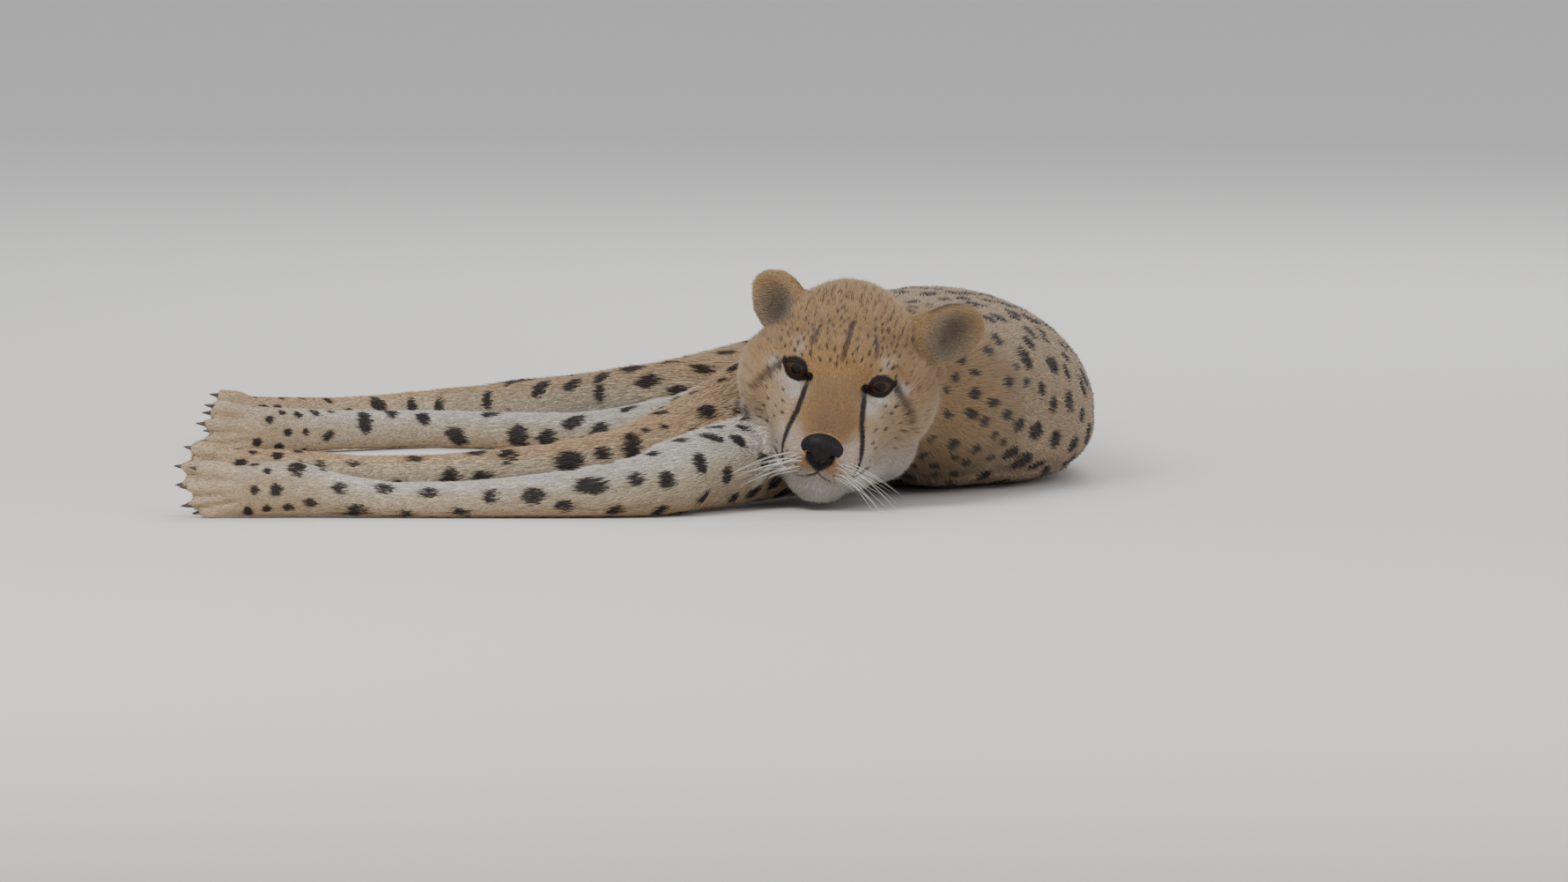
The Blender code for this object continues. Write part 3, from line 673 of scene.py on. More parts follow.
@dataclass
class Face:
    """Shapes the skin of the head, in the head's frame."""

    head: HeadFrame
    eye_radius: float = 0.0155
    lid: float = 0.0013
    behind: float = 0.0030
    half_width: float = 0.0115
    rise: float = 0.0064
    drop: float = 0.0078
    canthus: float = 0.0042
    lid_reach: float = 0.0080
    slant: float = 12.0
    turn_out: float = 8.0
    nose: Point = (0.0, 0.0640, -0.0420)
    nose_radii: Point = (0.0185, 0.0110, 0.0145)
    nose_bed: float = 0.0045
    mouth: tuple[tuple[float, float], ...] = (
        (0.0, -0.0685), (0.0070, -0.0730), (0.0160, -0.0755), (0.0260, -0.0750),
        (0.0340, -0.0715), (0.0410, -0.0660),
    )
    philtrum: tuple[tuple[float, float], ...] = ((0.0, -0.0540), (0.0, -0.0685))
    tear: tuple[Point, ...] = (
        (0.0245, 0.0070, -0.0050), (0.0254, 0.0145, -0.0110), (0.0264, 0.0240, -0.0180),
        (0.0280, 0.0315, -0.0275), (0.0305, 0.0360, -0.0345), (0.0324, 0.0415, -0.0405),
        (0.0334, 0.0470, -0.0480), (0.0330, 0.0520, -0.0550), (0.0316, 0.0570, -0.0615),
        (0.0290, 0.0595, -0.0690),
    )
    tear_flat: float = 0.35
    opening_border: float = 0.0004

    def eye_axes(self, side: int) -> tuple[Rows, Rows]:
        """Middle of an eyeball, and its axes: outward, up and along the gaze."""
        middle = np.array((side * self.head.eye[0], self.head.eye[1], self.head.eye[2]))
        out = math.radians(self.turn_out)
        gaze = np.array((side * math.sin(out), math.cos(out), 0.0))
        across = np.array((side * math.cos(out), -math.sin(out), 0.0))
        upward = np.array((0.0, 0.0, 1.0))
        tilt = math.radians(self.slant)
        outward = across * math.cos(tilt) + upward * math.sin(tilt)
        rise = upward * math.cos(tilt) - across * math.sin(tilt)
        return middle, np.array((outward, rise, gaze))

    def tear_line(self, rows: Rows) -> tuple[Rows, Rows]:
        """Distance from the dark line beside the nose, seen nearly from ahead, and place on it."""
        flat = np.array((1.0, self.tear_flat, 1.0))
        return along_path(fold(rows) * flat, np.array(self.tear) * flat)

    def opening(self, rows: Rows, side: int) -> tuple[Rows, Rows]:
        """Rows in an eye's own axes, and their distance from the opening between its lids."""
        middle, axes = self.eye_axes(side)
        eye = (rows - middle) @ axes.T
        upper, lower = self.lid_edge(eye[:, 0])
        aside = np.maximum(np.abs(eye[:, 0]) - self.half_width, 0.0)
        apart = np.maximum(np.maximum(eye[:, 1] - upper, lower - eye[:, 1]), 0.0)
        return eye, np.hypot(aside, apart)

    def lid_edge(self, across: Rows) -> tuple[Rows, Rows]:
        """Heights of the upper and the lower lid's edge, by the place across the eye."""
        t = np.clip(np.abs(across) / self.half_width, 0.0, 1.0)
        upper = self.rise * (1.0 - t ** 2.6)
        lower = -self.drop * (1.0 - t ** 2.2)
        droop = np.where(across < 0, -self.canthus * t * t, 0.0)
        return upper + droop, lower + droop

    def shape_lids(self, rows: Rows, side: int) -> Rows:
        """Lay the skin over an eyeball as lids, and behind it inside their opening."""
        middle, axes = self.eye_axes(side)
        local, beyond = self.opening(rows, side)
        radius = np.linalg.norm(local, axis=1)
        upper, lower = self.lid_edge(local[:, 0])
        inside = np.minimum(upper - local[:, 1], local[:, 1] - lower)
        aside = np.abs(local[:, 0]) - self.half_width
        inside = np.where(aside > 0.0, -aside, inside) > self.opening_border
        near = (local[:, 2] > 0.0) & (radius < 2.2 * self.eye_radius)
        flat = np.linalg.norm(local[:, :2], axis=1)
        hold = smooth_step(self.lid_reach, 0.0010, beyond)
        shell = self.eye_radius + self.lid + 0.6 * beyond * beyond / 0.010
        height = np.sqrt(np.maximum(shell ** 2 - flat ** 2, (0.35 * self.eye_radius) ** 2))
        over = np.where(inside, height - self.lid - self.behind, height)
        share = np.where(near, np.where(inside, 1.0, hold), 0.0)
        local[:, 2] += (over - local[:, 2]) * share
        radius = np.linalg.norm(local, axis=1)
        clear = self.eye_radius + self.lid
        low = ~inside & (radius < clear) & (local[:, 2] > 0.0)
        local[low] *= (clear / np.maximum(radius[low], 1e-6))[:, None]
        return local @ axes + middle

    def shape(self, rows: Rows, facing: Rows) -> Rows:
        """Add what the masses of the head leave out.

        Args:
            rows: Corners in the head's frame.
            facing: The directions in which they face.

        Returns:
            The moved corners.
        """
        size = np.abs(rows[:, 0])
        plane = np.stack([size, rows[:, 2]], axis=1)
        front = smooth_step(0.020, 0.040, rows[:, 1])
        lips, along = along_path(plane, self.mouth)
        groove = -0.0034 * bell(lips, 0.0019) * front * smooth_step(1.0, 0.85, along)
        above = rows[:, 2] - np.interp(size, *np.array(self.mouth).T)
        groove += 0.0022 * bell(above - 0.0075, 0.0060) * front * bell(size - 0.015, 0.013)
        groove -= 0.0014 * bell(above + 0.0060, 0.0050) * front * bell(size, 0.025)
        cleft, _ = along_path(plane, self.philtrum)
        groove += -0.0020 * bell(cleft, 0.0015) * front
        tear, place = self.tear_line(rows)
        groove += -0.0012 * bell(tear, 0.0035) * smooth_step(1.0, 0.7, place)
        middle = np.array((self.head.eye[0], 0.004, 0.0135))
        brow = np.linalg.norm((fold(rows) - middle) / np.array((0.015, 0.016, 0.0045)), axis=1)
        groove += 0.0022 * bell(brow, 1.0)
        crown = smooth_step(0.0, -0.03, rows[:, 1]) * smooth_step(0.0, 0.02, rows[:, 2])
        groove += -0.0012 * bell(size, 0.006) * smooth_step(-0.06, -0.02, rows[:, 1]) * crown
        moved = rows + facing * groove[:, None]
        for side in (1, -1):
            moved = self.shape_lids(moved, side)
        nose = (moved - np.array(self.nose)) / (np.array(self.nose_radii) * 0.92)
        reach = np.linalg.norm(nose, axis=1)
        sunk = smooth_step(1.05, 0.85, reach) * smooth_step(-0.4, 0.2, nose[:, 1])
        return moved - np.array((0.0, self.nose_bed, 0.0)) * sunk[:, None]


# ------------------------------------------------------------------ the skin

@dataclass
class Skin:
    """One skin for the whole animal, made from the model's pieces of flesh."""

    head: HeadFrame
    layout: Layout
    face: Face
    voxel: float = 0.0026
    swell: float = 0.0007
    smoothing: int = 7
    paw_smoothing: int = 3
    paws_before: float = -0.295
    body_share: float = 0.30
    paw_fade: float = 0.03
    head_back: float = -0.13
    face_back: float = -0.030
    face_half: float = 0.075
    face_rise: tuple[float, float] = (-0.105, 0.04)
    depth_rounds: int = 12
    floor: float = 0.0012
    resting: float = 0.012
    resting_share: float = 0.15
    cup: float = 0.0070
    cup_width: float = 0.0160
    toe_round: float = 0.0030
    toe_tip: float = 0.0200
    toe_radius: float = 0.0088
    groove: float = 0.0030
    groove_ahead: float = 0.0026
    depths: dict[Part, float] = field(default_factory=lambda: {
        Part.HEAD: 0.0016, Part.NECK: 0.0050, Part.TRUNK: 0.0040, Part.TAIL: 0.0035,
        Part.EAR: 0.0007, **dict.fromkeys(LEGS, 0.0018),
    })

    def fuse(self) -> Object:
        """Merge copies of the pieces, swollen until they overlap, into one body."""
        whole = bmesh.new()
        for name in FLESH + ("nose", "eye_left", "eye_right"):
            piece = to_bmesh(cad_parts[name].data)
            bmesh.ops.remove_doubles(piece, verts=piece.verts[:], dist=1e-6)
            piece.normal_update()
            for vertex in piece.verts:
                vertex.co += vertex.normal * self.swell
            mesh = bpy.data.meshes.new("swollen")
            write_back(piece, mesh)
            whole.from_mesh(mesh)
            bpy.data.meshes.remove(mesh)
        body = from_bmesh("skin", whole)
        remesh = body.modifiers.new("fuse", "REMESH")
        remesh.mode = "VOXEL"
        remesh.voxel_size = self.voxel
        settle(body)
        self.keep_largest(body)
        return body

    @staticmethod
    def keep_largest(body: Object) -> None:
        """Drop loose shells that the fusing leaves inside."""
        count = len(body.data.vertices)
        label = np.arange(count)
        pairs = edges_of(body.data)
        while True:
            low = np.minimum(label[pairs[:, 0]], label[pairs[:, 1]])
            before = label.copy()
            np.minimum.at(label, pairs[:, 0], low)
            np.minimum.at(label, pairs[:, 1], low)
            label = label[label]
            if np.array_equal(before, label):
                break
        values, sizes = np.unique(label, return_counts=True)
        if len(values) > 1:
            bm = to_bmesh(body.data)
            loose = np.nonzero(label != values[np.argmax(sizes)])[0]
            bmesh.ops.delete(bm, geom=[bm.verts[k] for k in loose], context="VERTS")
            write_back(bm, body.data)

    def label_parts(self, mesh: Mesh) -> tuple[Rows, Rows]:
        """Part and node, by the nearest corner of the model, for every corner."""
        places = [points_of(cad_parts[name].data) for name in FLESH]
        numbers = np.repeat(np.arange(len(FLESH)), [len(rows) for rows in places])
        tree = tree_of(np.vstack(places))
        node = numbers[[tree.find(row)[1] for row in points_of(mesh)]]
        part = np.array([PART_OF_NODE[name].value for name in FLESH])[node]
        return part, node

    def build(self) -> Object:
        """Fuse, thin out, refine the face, shape it and lay the skin under the coat."""
        body = self.fuse()
        pairs = edges_of(body.data)
        rough = spread(points_of(body.data), pairs, self.paw_smoothing)
        rows = spread(rough, pairs, self.smoothing - self.paw_smoothing)
        paw = smooth_step(self.paws_before + self.paw_fade, self.paws_before, rows[:, 0])
        rows = mix(rows, rough, paw)
        move_points(body.data, rows)
        local = self.head.inward(rows)
        ears = np.linalg.norm(local - np.array((0.0, -0.07, 0.03)), axis=1) < 0.13
        paws = rows[:, 0] < self.paws_before
        fine = (local[:, 1] > self.head_back) & ears | paws
        group = body.vertex_groups.new(name="coarse")
        group.add(np.nonzero(~fine)[0].tolist(), 1.0, "REPLACE")
        decimate = body.modifiers.new("thin", "DECIMATE")
        decimate.vertex_group = "coarse"
        decimate.ratio = self.body_share
        settle(body)
        body.vertex_groups.clear()
        self.refine(body)
        LOG.info("refined: %d faces", len(body.data.polygons))
        pairs = edges_of(body.data)
        part, node = self.label_parts(body.data)
        depth = np.array([self.depths[Part(k)] for k in range(len(Part))])[part]
        depth = spread(depth, pairs, self.depth_rounds)[:, 0]
        rows = points_of(body.data)
        facing = normals_of(body.data)
        sink = -facing * depth[:, None]
        low = (rows[:, 2] < self.resting) & (facing[:, 2] < -0.3)
        sink[low, 2] *= self.resting_share
        rows = rows + sink
        rows[:, 2] = np.maximum(rows[:, 2], self.floor)
        local = self.head.inward(rows)
        turned = facing @ np.array(self.head.matrix)[:3, :3]
        near = np.linalg.norm(local - np.array((0.0, 0.0, -0.02)), axis=1) < 0.10
        shaped = self.face.shape(local[near], turned[near])
        rows[near] = self.head.outward(shaped)
        rows = self.hollow_ears(rows, facing, node)
        rows = self.part_toes(rows, facing, node)
        move_points(body.data, rows)
        put(body.data, "part", "INT", part)
        put(body.data, "node", "INT", node)
        body.data.shade_smooth()
        return body

    def hollow_ears(self, rows: Rows, facing: Rows, node: Rows) -> Rows:
        """Deepen the cups of the ears, on the side where they are open."""
        for name, opening, upward in EAR_CUPS:
            on = node == FLESH.index(name)
            out, high = unit(opening), unit(upward)
            offset = rows[on] - np.array(middle_of(name))
            reach = np.hypot(offset @ np.cross(out, high), (offset @ high) * 0.85)
            open_side = smooth_step(0.1, 0.5, facing[on] @ out)
            rows[on] -= out * (self.cup * bell(reach, self.cup_width) * open_side)[:, None]
        return rows

    def part_toes(self, rows: Rows, facing: Rows, node: Rows) -> Rows:
        """Press grooves between the toes of each paw, and round the toes' ends."""
        moved = rows.copy()
        for paw in PAWS:
            toes = self.layout.toes(paw)
            own = node == FLESH.index(paw)
            for (low, low_run), (high, high_run) in zip(toes, toes[1:]):
                middle = (low + high) / 2
                run = unit(low_run + high_run)
                gap = high - low
                gap = unit(gap - run * (gap @ run))
                offset = rows - middle
                ahead = offset @ run
                near = own & (np.linalg.norm(offset, axis=1) < 0.045)
                deeper = self.groove_ahead * smooth_step(0.004, 0.022, ahead)
                depth = (self.groove + deeper) * near
                depth = depth * bell(offset @ gap, 0.0030) * smooth_step(-0.022, -0.006, ahead)
                moved -= facing * depth[:, None]
            self.round_toes(moved, own, toes)
        moved[:, 2] = np.maximum(moved[:, 2], self.floor)
        return moved

    def round_toes(self, rows: Rows, paw: Rows,
                   toes: list[tuple[Rows, Rows]]) -> None:
        """Draw the skin in to each toe's own round end."""
        middles, runs = (np.array(column) for column in zip(*toes))
        near = paw & (np.linalg.norm(rows - middles.mean(axis=0), axis=1) < 0.055)
        offset = rows[near][:, None, :] - middles
        ahead = np.einsum("nkj,kj->nk", offset, runs)
        radial = offset - ahead[:, :, None] * runs
        apart = np.linalg.norm(radial, axis=2)
        count = np.arange(len(apart))
        own = apart.argmin(axis=1)
        ahead, apart, radial = ahead[count, own], apart[count, own], radial[count, own]
        share = np.clip((ahead - self.toe_round) / (self.toe_tip - self.toe_round), 0.0, 1.0)
        limit = self.toe_radius * np.sqrt(np.maximum(1.0 - share ** 2, 0.03))
        limit = limit + 0.016 * smooth_step(0.006, -0.018, ahead)
        scale = np.minimum(apart, limit) / np.maximum(apart, 1e-6)
        rows[near] = (middles[own] + runs[own] * np.minimum(ahead, self.toe_tip)[:, None]
                      + radial * scale[:, None])

    def refine(self, body: Object) -> None:
        """Divide the faces at the front of the head."""
        bm = to_bmesh(body.data)
        inverse = self.head.matrix.inverted()
        low, high = self.face_rise
        chosen = set()
        for face in bm.faces:
            x, y, z = inverse @ face.calc_center_median()
            if y > self.face_back and abs(x) < self.face_half and low < z < high:
                chosen.update(face.edges)
        bmesh.ops.subdivide_edges(bm, edges=list(chosen), cuts=1, use_grid_fill=True, smooth=0.0)
        bmesh.ops.triangulate(bm, faces=bm.faces[:])
        write_back(bm, body.data)


# ------------------------------------------------------------------ markings

@dataclass(frozen=True)
class Spotting:
    """How densely a region is spotted, and how large its spots are."""

    spacing: float
    long: float
    wide: float
    chance: float = 1.0


@dataclass
class Markings:
    """Ground colour and dark marks of the coat."""

    head: HeadFrame
    layout: Layout
    face: Face
    seed: int = 7
    tan: Colour = (0.52, 0.315, 0.135)
    pale_tan: Colour = (0.60, 0.42, 0.25)
    cream: Colour = (0.64, 0.53, 0.38)
    white: Colour = (0.78, 0.74, 0.67)
    warm: Colour = (0.36, 0.20, 0.090)
    umber: Colour = (0.215, 0.125, 0.066)
    pink: Colour = (0.70, 0.56, 0.47)
    jowl: Colour = (0.64, 0.53, 0.44)
    grey: Colour = (0.40, 0.305, 0.205)
    # Painted shade for the hollow middle of each ear's cup.
    cup_painted_shade: Colour = (0.105, 0.074, 0.052)
    back: Colour = (0.50, 0.37, 0.24)
    black: Colour = (0.016, 0.012, 0.013)
    brown: Colour = (0.060, 0.026, 0.014)
    streaks: tuple[tuple[Point, ...], ...] = (
        ((0.0020, -0.026, 0.036), (0.0015, -0.004, 0.030), (0.0005, 0.010, 0.017)),
        ((0.0240, -0.021, 0.031), (0.0270, -0.010, 0.026), (0.0280, -0.001, 0.020)),
    )
    outer_streak: tuple[Point, ...] = (
        (0.0480, -0.0020, -0.0010), (0.0567, 0.0010, -0.0100), (0.0640, 0.0010, -0.0200),
        (0.0677, -0.0010, -0.0305),
    )
    large_spots: tuple[tuple[float, float, float, float, float], ...] = (
        (-0.158, 0.870, 0.060, 0.0124, 0.0075), (-0.198, 0.898, 0.063, 0.0080, 0.0090),
        (-0.202, 0.886, 0.048, 0.0060, 0.0090), (-0.110, 0.880, 0.070, 0.0105, 0.0070),
        (-0.128, 0.860, 0.050, 0.0105, 0.0062), (-0.138, 0.889, 0.076, 0.0090, 0.0050),
        (-0.300, 0.995, 0.036, 0.0060, 0.0095), (-0.174, 0.810, 0.041, 0.0108, 0.0060),
        (-0.381, 0.867, 0.034, 0.0066, 0.0095), (-0.403, 0.842, 0.028, 0.0080, 0.0116),
        (-0.365, 1.024, 0.028, 0.0056, 0.0072), (-0.341, 1.032, 0.027, 0.0056, 0.0072),
        (-0.217, 0.108, 0.044, 0.0122, 0.0092), (-0.165, 0.124, 0.054, 0.0080, 0.0150),
        (-0.351, 0.104, 0.048, 0.0078, 0.0052), (-0.398, 0.092, 0.044, 0.0060, 0.0040),
        (-0.334, 0.032, 0.024, 0.0080, 0.0050), (-0.374, 0.035, 0.026, 0.0092, 0.0058),
        (-0.199, 0.026, 0.029, 0.0145, 0.0078), (-0.098, 0.106, 0.064, 0.0108, 0.0078),
        (-0.107, 0.064, 0.046, 0.0080, 0.0115), (-0.136, 0.038, 0.034, 0.0078, 0.0078),
        (-0.445, 0.040, 0.043, 0.0078, 0.0090), (-0.155, 0.146, 0.069, 0.0048, 0.0040),
        (-0.140, 0.157, 0.071, 0.0048, 0.0040), (-0.093, 0.239, 0.103, 0.0056, 0.0042),
        (-0.112, 0.229, 0.094, 0.0050, 0.0038),
    )
    spottings: dict[Part, Spotting] = field(default_factory=lambda: {
        Part.NECK: Spotting(0.0170, 0.0058, 0.0042, 0.85),
        Part.TRUNK: Spotting(0.0265, 0.0112, 0.0082),
        Part.TAIL: Spotting(0.0260, 0.0080, 0.0070),
        **dict.fromkeys(LEGS[:2], Spotting(0.0260, 0.0085, 0.0075)),
        **dict.fromkeys(LEGS[2:], Spotting(0.0280, 0.0100, 0.0080)),
    })
    spot_depth: float = 0.020
    large_spacing: float = 0.028
    cell: float = 0.030

    def ground(self, rows: Rows, facing: Rows, part: Rows, node: Rows) -> Rows:
        """Colour of the hair where there is no mark.

        Args:
            rows: Corners of the skin.
            facing: The directions in which they face.
            part: The part that each belongs to.
            node: The model's piece that each belongs to.

        Returns:
            Rows of colour.
        """
        neck, trunk, tail = (part == p.value for p in (Part.NECK, Part.TRUNK, Part.TAIL))
        colour = np.tile(np.array(self.tan), (len(rows), 1))
        colour[trunk | tail] = self.back
        colour = mix(colour, self.back, smooth_step(-0.490, -0.350, rows[:, 1]) * neck)
        under = smooth_step(0.15, 0.85, -facing[:, 0]) * (trunk | neck)
        colour = mix(colour, self.white, under * 0.85)
        for leg in LEGS:
            side = facing[:, 2] if leg.name.endswith("RIGHT") else -facing[:, 2]
            place = self.layout.place(leg, rows)
            upper = smooth_step(0.32, 0.08, place) * smooth_step(-0.2, 0.6, side)
            shade = mix(self.white, self.cream, smooth_step(-0.8, -0.1, side))
            shade = mix(shade, self.pale_tan, smooth_step(0.25, 0.95, side))
            shade = mix(shade, self.pale_tan, 0.6 * smooth_step(0.80, 0.95, place))
            shade = mix(shade, self.back, 0.85 * upper)
            colour[part == leg.value] = shade[part == leg.value]
        tip = smooth_step(0.925, 0.955, self.layout.place(Part.TAIL, rows)) * tail
        colour = mix(colour, self.white, tip)
        below = smooth_step(0.2, -0.8, facing[:, 2]) * tail
        colour = mix(colour, self.cream, below * 0.8)
        self.ears(colour, rows, facing, node)
        on_head = part == Part.HEAD.value
        colour[on_head] = self.head_ground(self.head.inward(rows[on_head]))
        return colour

    def ears(self, colour: Rows, rows: Rows, facing: Rows, node: Rows) -> None:
        """Colour the ears: grey-brown in the cup, darker in its middle as painted shade of the
        hollow, black behind, tan at rim and root.
        """
        for name, opening, upward in EAR_CUPS:
            on = node == FLESH.index(name)
            out = unit(opening)
            offset = rows[on] - np.array(middle_of(name))
            height = offset @ unit(upward)
            behind = mix(self.black, np.array(self.tan) * 0.85,
                         smooth_step(0.006, 0.020, np.abs(height - 0.002)))
            reach = np.linalg.norm(offset - out * (offset @ out)[:, None], axis=1)
            # The middle of the cup is darkened as painted shade of the hollow.
            cup = mix(self.grey, self.cup_painted_shade, bell(reach, 0.0150))
            rim = bell(facing[on] @ out - 0.25, 0.35)
            cup = mix(cup, self.tan,
                      np.maximum(0.85 * rim, 0.8 * smooth_step(0.019, 0.026, reach)))
            colour[on] = mix(behind, cup, smooth_step(-0.15, 0.25, facing[on] @ out))

    def head_ground(self, local: Rows) -> Rows:
        """Colour of the head's hair, in the head's frame."""
        folded = fold(local)
        size, ahead, rise = folded.T
        above = rise - np.interp(size, *np.array(self.face.mouth).T)
        front = smooth_step(0.022, 0.042, ahead)
        cheek = smooth_step(-0.004, -0.028, rise) * smooth_step(0.020, 0.034, size)
        bridge = bell(size, 0.017) * smooth_step(0.006, -0.010, rise)
        bridge = bridge * smooth_step(0.0, 0.02, ahead)
        low = bell(size, 0.015) * bell(rise + 0.030, 0.014) * smooth_step(0.01, 0.03, ahead)
        pads = smooth_step(-0.030, -0.044, rise) * smooth_step(0.012, 0.021, size) * front
        jowl = smooth_step(-0.040, -0.066, rise) * smooth_step(0.020, 0.036, size)
        lips = bell(above - 0.002, 0.009) * front
        chin = smooth_step(0.0, -0.008, above) * smooth_step(-0.02, 0.02, ahead)
        throat = smooth_step(-0.062, -0.092, rise)
        colour = np.array(self.tan)
        for shade, share in (
            (self.pale_tan, cheek), (self.warm, bridge * 0.80), (self.umber, low * 0.70),
            (self.pink, pads * 0.95), (self.jowl, jowl * 0.85), (self.white, lips * 0.85),
            (self.white, chin * 0.95), (self.white, throat * 0.9),
        ):
            colour = mix(colour, shade, share)
        for middle, reach, share in (
            ((0.0365, 0.004, -0.0150), 0.0100, 1.00),
            ((0.0310, 0.018, -0.0200), 0.0080, 0.95),
            ((0.0510, -0.002, -0.0075), 0.0070, 0.85),
            ((0.0370, 0.002, 0.0160), 0.0060, 0.35),
        ):
            apart = np.linalg.norm(folded - np.array(middle), axis=1)
            colour = mix(colour, self.white, np.minimum(bell(apart, reach) * share * 1.2, 0.95))
        return colour

    def head_marks(self, local: Rows) -> tuple[Rows, Rows]:
        """Share of black and of brown on the face, in the head's frame."""
        folded = fold(local)
        size, ahead, rise = folded.T
        front = smooth_step(0.025, 0.035, ahead)
        tear, place = self.face.tear_line(local)
        width = 0.0025 - 0.0008 * place + 0.0016 * smooth_step(0.14, 0.0, place)
        black = smooth_step(width + 0.0008, width - 0.0005, tear)
        for line, reach in ((self.face.mouth, 0.0026), (self.face.philtrum, 0.0022)):
            apart, _ = along_path(folded[:, (0, 2)], line)
            black = np.maximum(black, 0.9 * smooth_step(reach, 0.0010, apart) * front)
        under_nose = np.interp(rise, (-0.0640, -0.0520), (0.0008, 0.0125))
        black = np.maximum(black, smooth_step(0.0010, -0.0010, size - under_nose) * front
                           * (np.abs(rise + 0.055) < 0.009))
        eye, rim = self.face.opening(folded, 1)
        # The black lid margin is real; its extra width on the upper side is painted shadow of the
        # brow.
        lid = 0.0024 + 0.0014 * smooth_step(0.0, 0.004, eye[:, 1])
        black = np.maximum(black, smooth_step(lid + 0.0012, lid, rim) * (eye[:, 2] > 0.0))
        brown = np.zeros(len(local))
        for rows, streak in zip((local, folded), self.streaks):
            line, place = along_path(rows, streak)
            brown = np.maximum(
                brown, smooth_step(0.0034, 0.0012, line) * (1.0 - 0.35 * place) * 0.95)
        line, place = along_path(folded, self.outer_streak)
        brown = np.maximum(brown, smooth_step(0.0055, 0.0015, line) * (0.90 - 0.35 * place))
        return black, brown

    def place_spots(self, skin: Object) -> None:
        """Scatter the spots over the skin, no two closer than their region's spacing."""
        mesh = skin.data
        rows, facing = points_of(mesh), normals_of(mesh)
        part, flow = labels(mesh, "part"), take(mesh, "flow", 3)
        local = self.head.inward(rows)
        random = np.random.default_rng(self.seed)
        order = random.permutation(len(rows))
        cells: dict[tuple[int, ...], list[tuple[Rows, float]]] = {}
        spots = []

        def cell_of(k: int) -> tuple[int, ...]:
            return tuple(int(math.floor(v / self.cell)) for v in rows[k])

        def add_spot(k: int, axis: Rows, long: float, wide: float) -> None:
            spots.append(np.concatenate([rows[k], axis / long, np.cross(facing[k], axis) / wide,
                                         facing[k] / self.spot_depth]))

        for *place, long, high in self.large_spots:
            k = int(np.argmin(np.linalg.norm(rows - (np.array(place) + SHIFT), axis=1)))
            axis = np.array((1.0, 0.0, 0.0))
            cells.setdefault(cell_of(k), []).append((rows[k], self.large_spacing))
            add_spot(k, unit(axis - facing[k] * (axis @ facing[k])), long, high)
        for k in order:
            spotting = self.spotting_at(Part(part[k]), rows[k], local[k])
            if spotting is None or self.crowded(cells, cell_of(k), rows[k], spotting.spacing):
                continue
            cells.setdefault(cell_of(k), []).append((rows[k], spotting.spacing))
            if random.random() > spotting.chance:
                continue
            size = random.uniform(0.75, 1.2)
            slim = random.uniform(0.85, 1.15)
            turn = random.normal(0.0, 0.25)
            axis = flow[k] * math.cos(turn) + np.cross(facing[k], flow[k]) * math.sin(turn)
            add_spot(k, axis, spotting.long * size * slim, spotting.wide * size / slim)
        self.spots = np.array(spots)
        self.spot_tree = tree_of(self.spots[:, :3])
        LOG.info("spots: %d", len(spots))

    @staticmethod
    def crowded(cells: dict, cell: tuple[int, ...], row: Rows, spacing: float) -> bool:
        """Whether a spot would be too close to one that is there."""
        for i, j, k in NEIGHBOURS:
            for other, reach in cells.get((cell[0] + i, cell[1] + j, cell[2] + k), ()):
                gap = row - other
                limit = 0.5 * (spacing + reach)
                if gap @ gap < limit * limit:
                    return True
        return False

    def spotting_at(self, part: Part, row: Rows, local: Rows) -> Spotting | None:
        """The spotting of a place, or None where the coat is plain."""
        if part is Part.HEAD:
            size = abs(local[0])
            if local[2] > 0.012 and local[1] > -0.09:
                return Spotting(0.0060, 0.0023, 0.0014, 0.85)
            if local[1] < -0.05:
                return Spotting(0.0120, 0.0034, 0.0026, 0.8)
            if size > 0.040 and local[2] > -0.060:
                return Spotting(0.0080, 0.0019, 0.0015, 0.65)
            if 0.012 < size < 0.034 and -0.070 < local[2] < -0.048 and local[1] > 0.040:
                return Spotting(0.0052, 0.0010, 0.0009)
            return None
        if part is Part.EAR:
            return None
        if part in LEGS:
            place = self.layout.place(part, row[None, :])[0]
            if place > 0.94:
                return None
            if place > 0.84:
                return Spotting(0.0150, 0.0048, 0.0042)
        return self.spottings[part]

    def spot_share(self, rows: Rows) -> Rows:
        """Share of spot colour at each point, by the two spots that are nearest to it."""
        share = np.zeros(len(rows))
        found = np.array([[hit[1] for hit in self.spot_tree.find_n(row, 2)] for row in rows])
        for number in found.T:
            data = self.spots[number]
            offset = rows - data[:, :3]
            reach = np.sqrt(sum(np.einsum("ij,ij->i", offset, data[:, k:k + 3]) ** 2
                                for k in (3, 6, 9)))
            wobble = 0.12 * np.sin(rows @ np.array((900.0, 700.0, 1100.0)) + number)
            share = np.maximum(share, smooth_step(1.12, 0.90, reach + wobble))
        return share

    def colour(self, rows: Rows, ground: Rows, part: Rows) -> Rows:
        """Ground colour with the marks laid over it.

        Args:
            rows: Places on the skin.
            ground: The ground colour at each.
            part: The part that each belongs to.

        Returns:
            Rows of colour.
        """
        share = self.spot_share(rows)
        tail = part == Part.TAIL.value
        place = self.layout.place(Part.TAIL, rows)
        ringed = smooth_step(0.60, 0.64, place) * tail
        rings = np.zeros(len(rows))
        for middle, width in ((0.66, 0.014), (0.73, 0.016), (0.80, 0.018), (0.875, 0.022)):
            apart = np.abs(place - middle)
            rings = np.maximum(rings, smooth_step(width + 0.006, width - 0.003, apart))
        share = share * (1.0 - ringed) + rings * tail * ringed
        on_head = part == Part.HEAD.value
        colour = mix(ground, self.black, share * np.where(on_head, 0.80, 0.96))
        if on_head.any():
            dark, reddish = self.head_marks(self.head.inward(rows[on_head]))
            face = mix(colour[on_head], self.brown, reddish)
            colour[on_head] = mix(face, self.black, dark)
        return colour


# ------------------------------------------------------------------ the coat

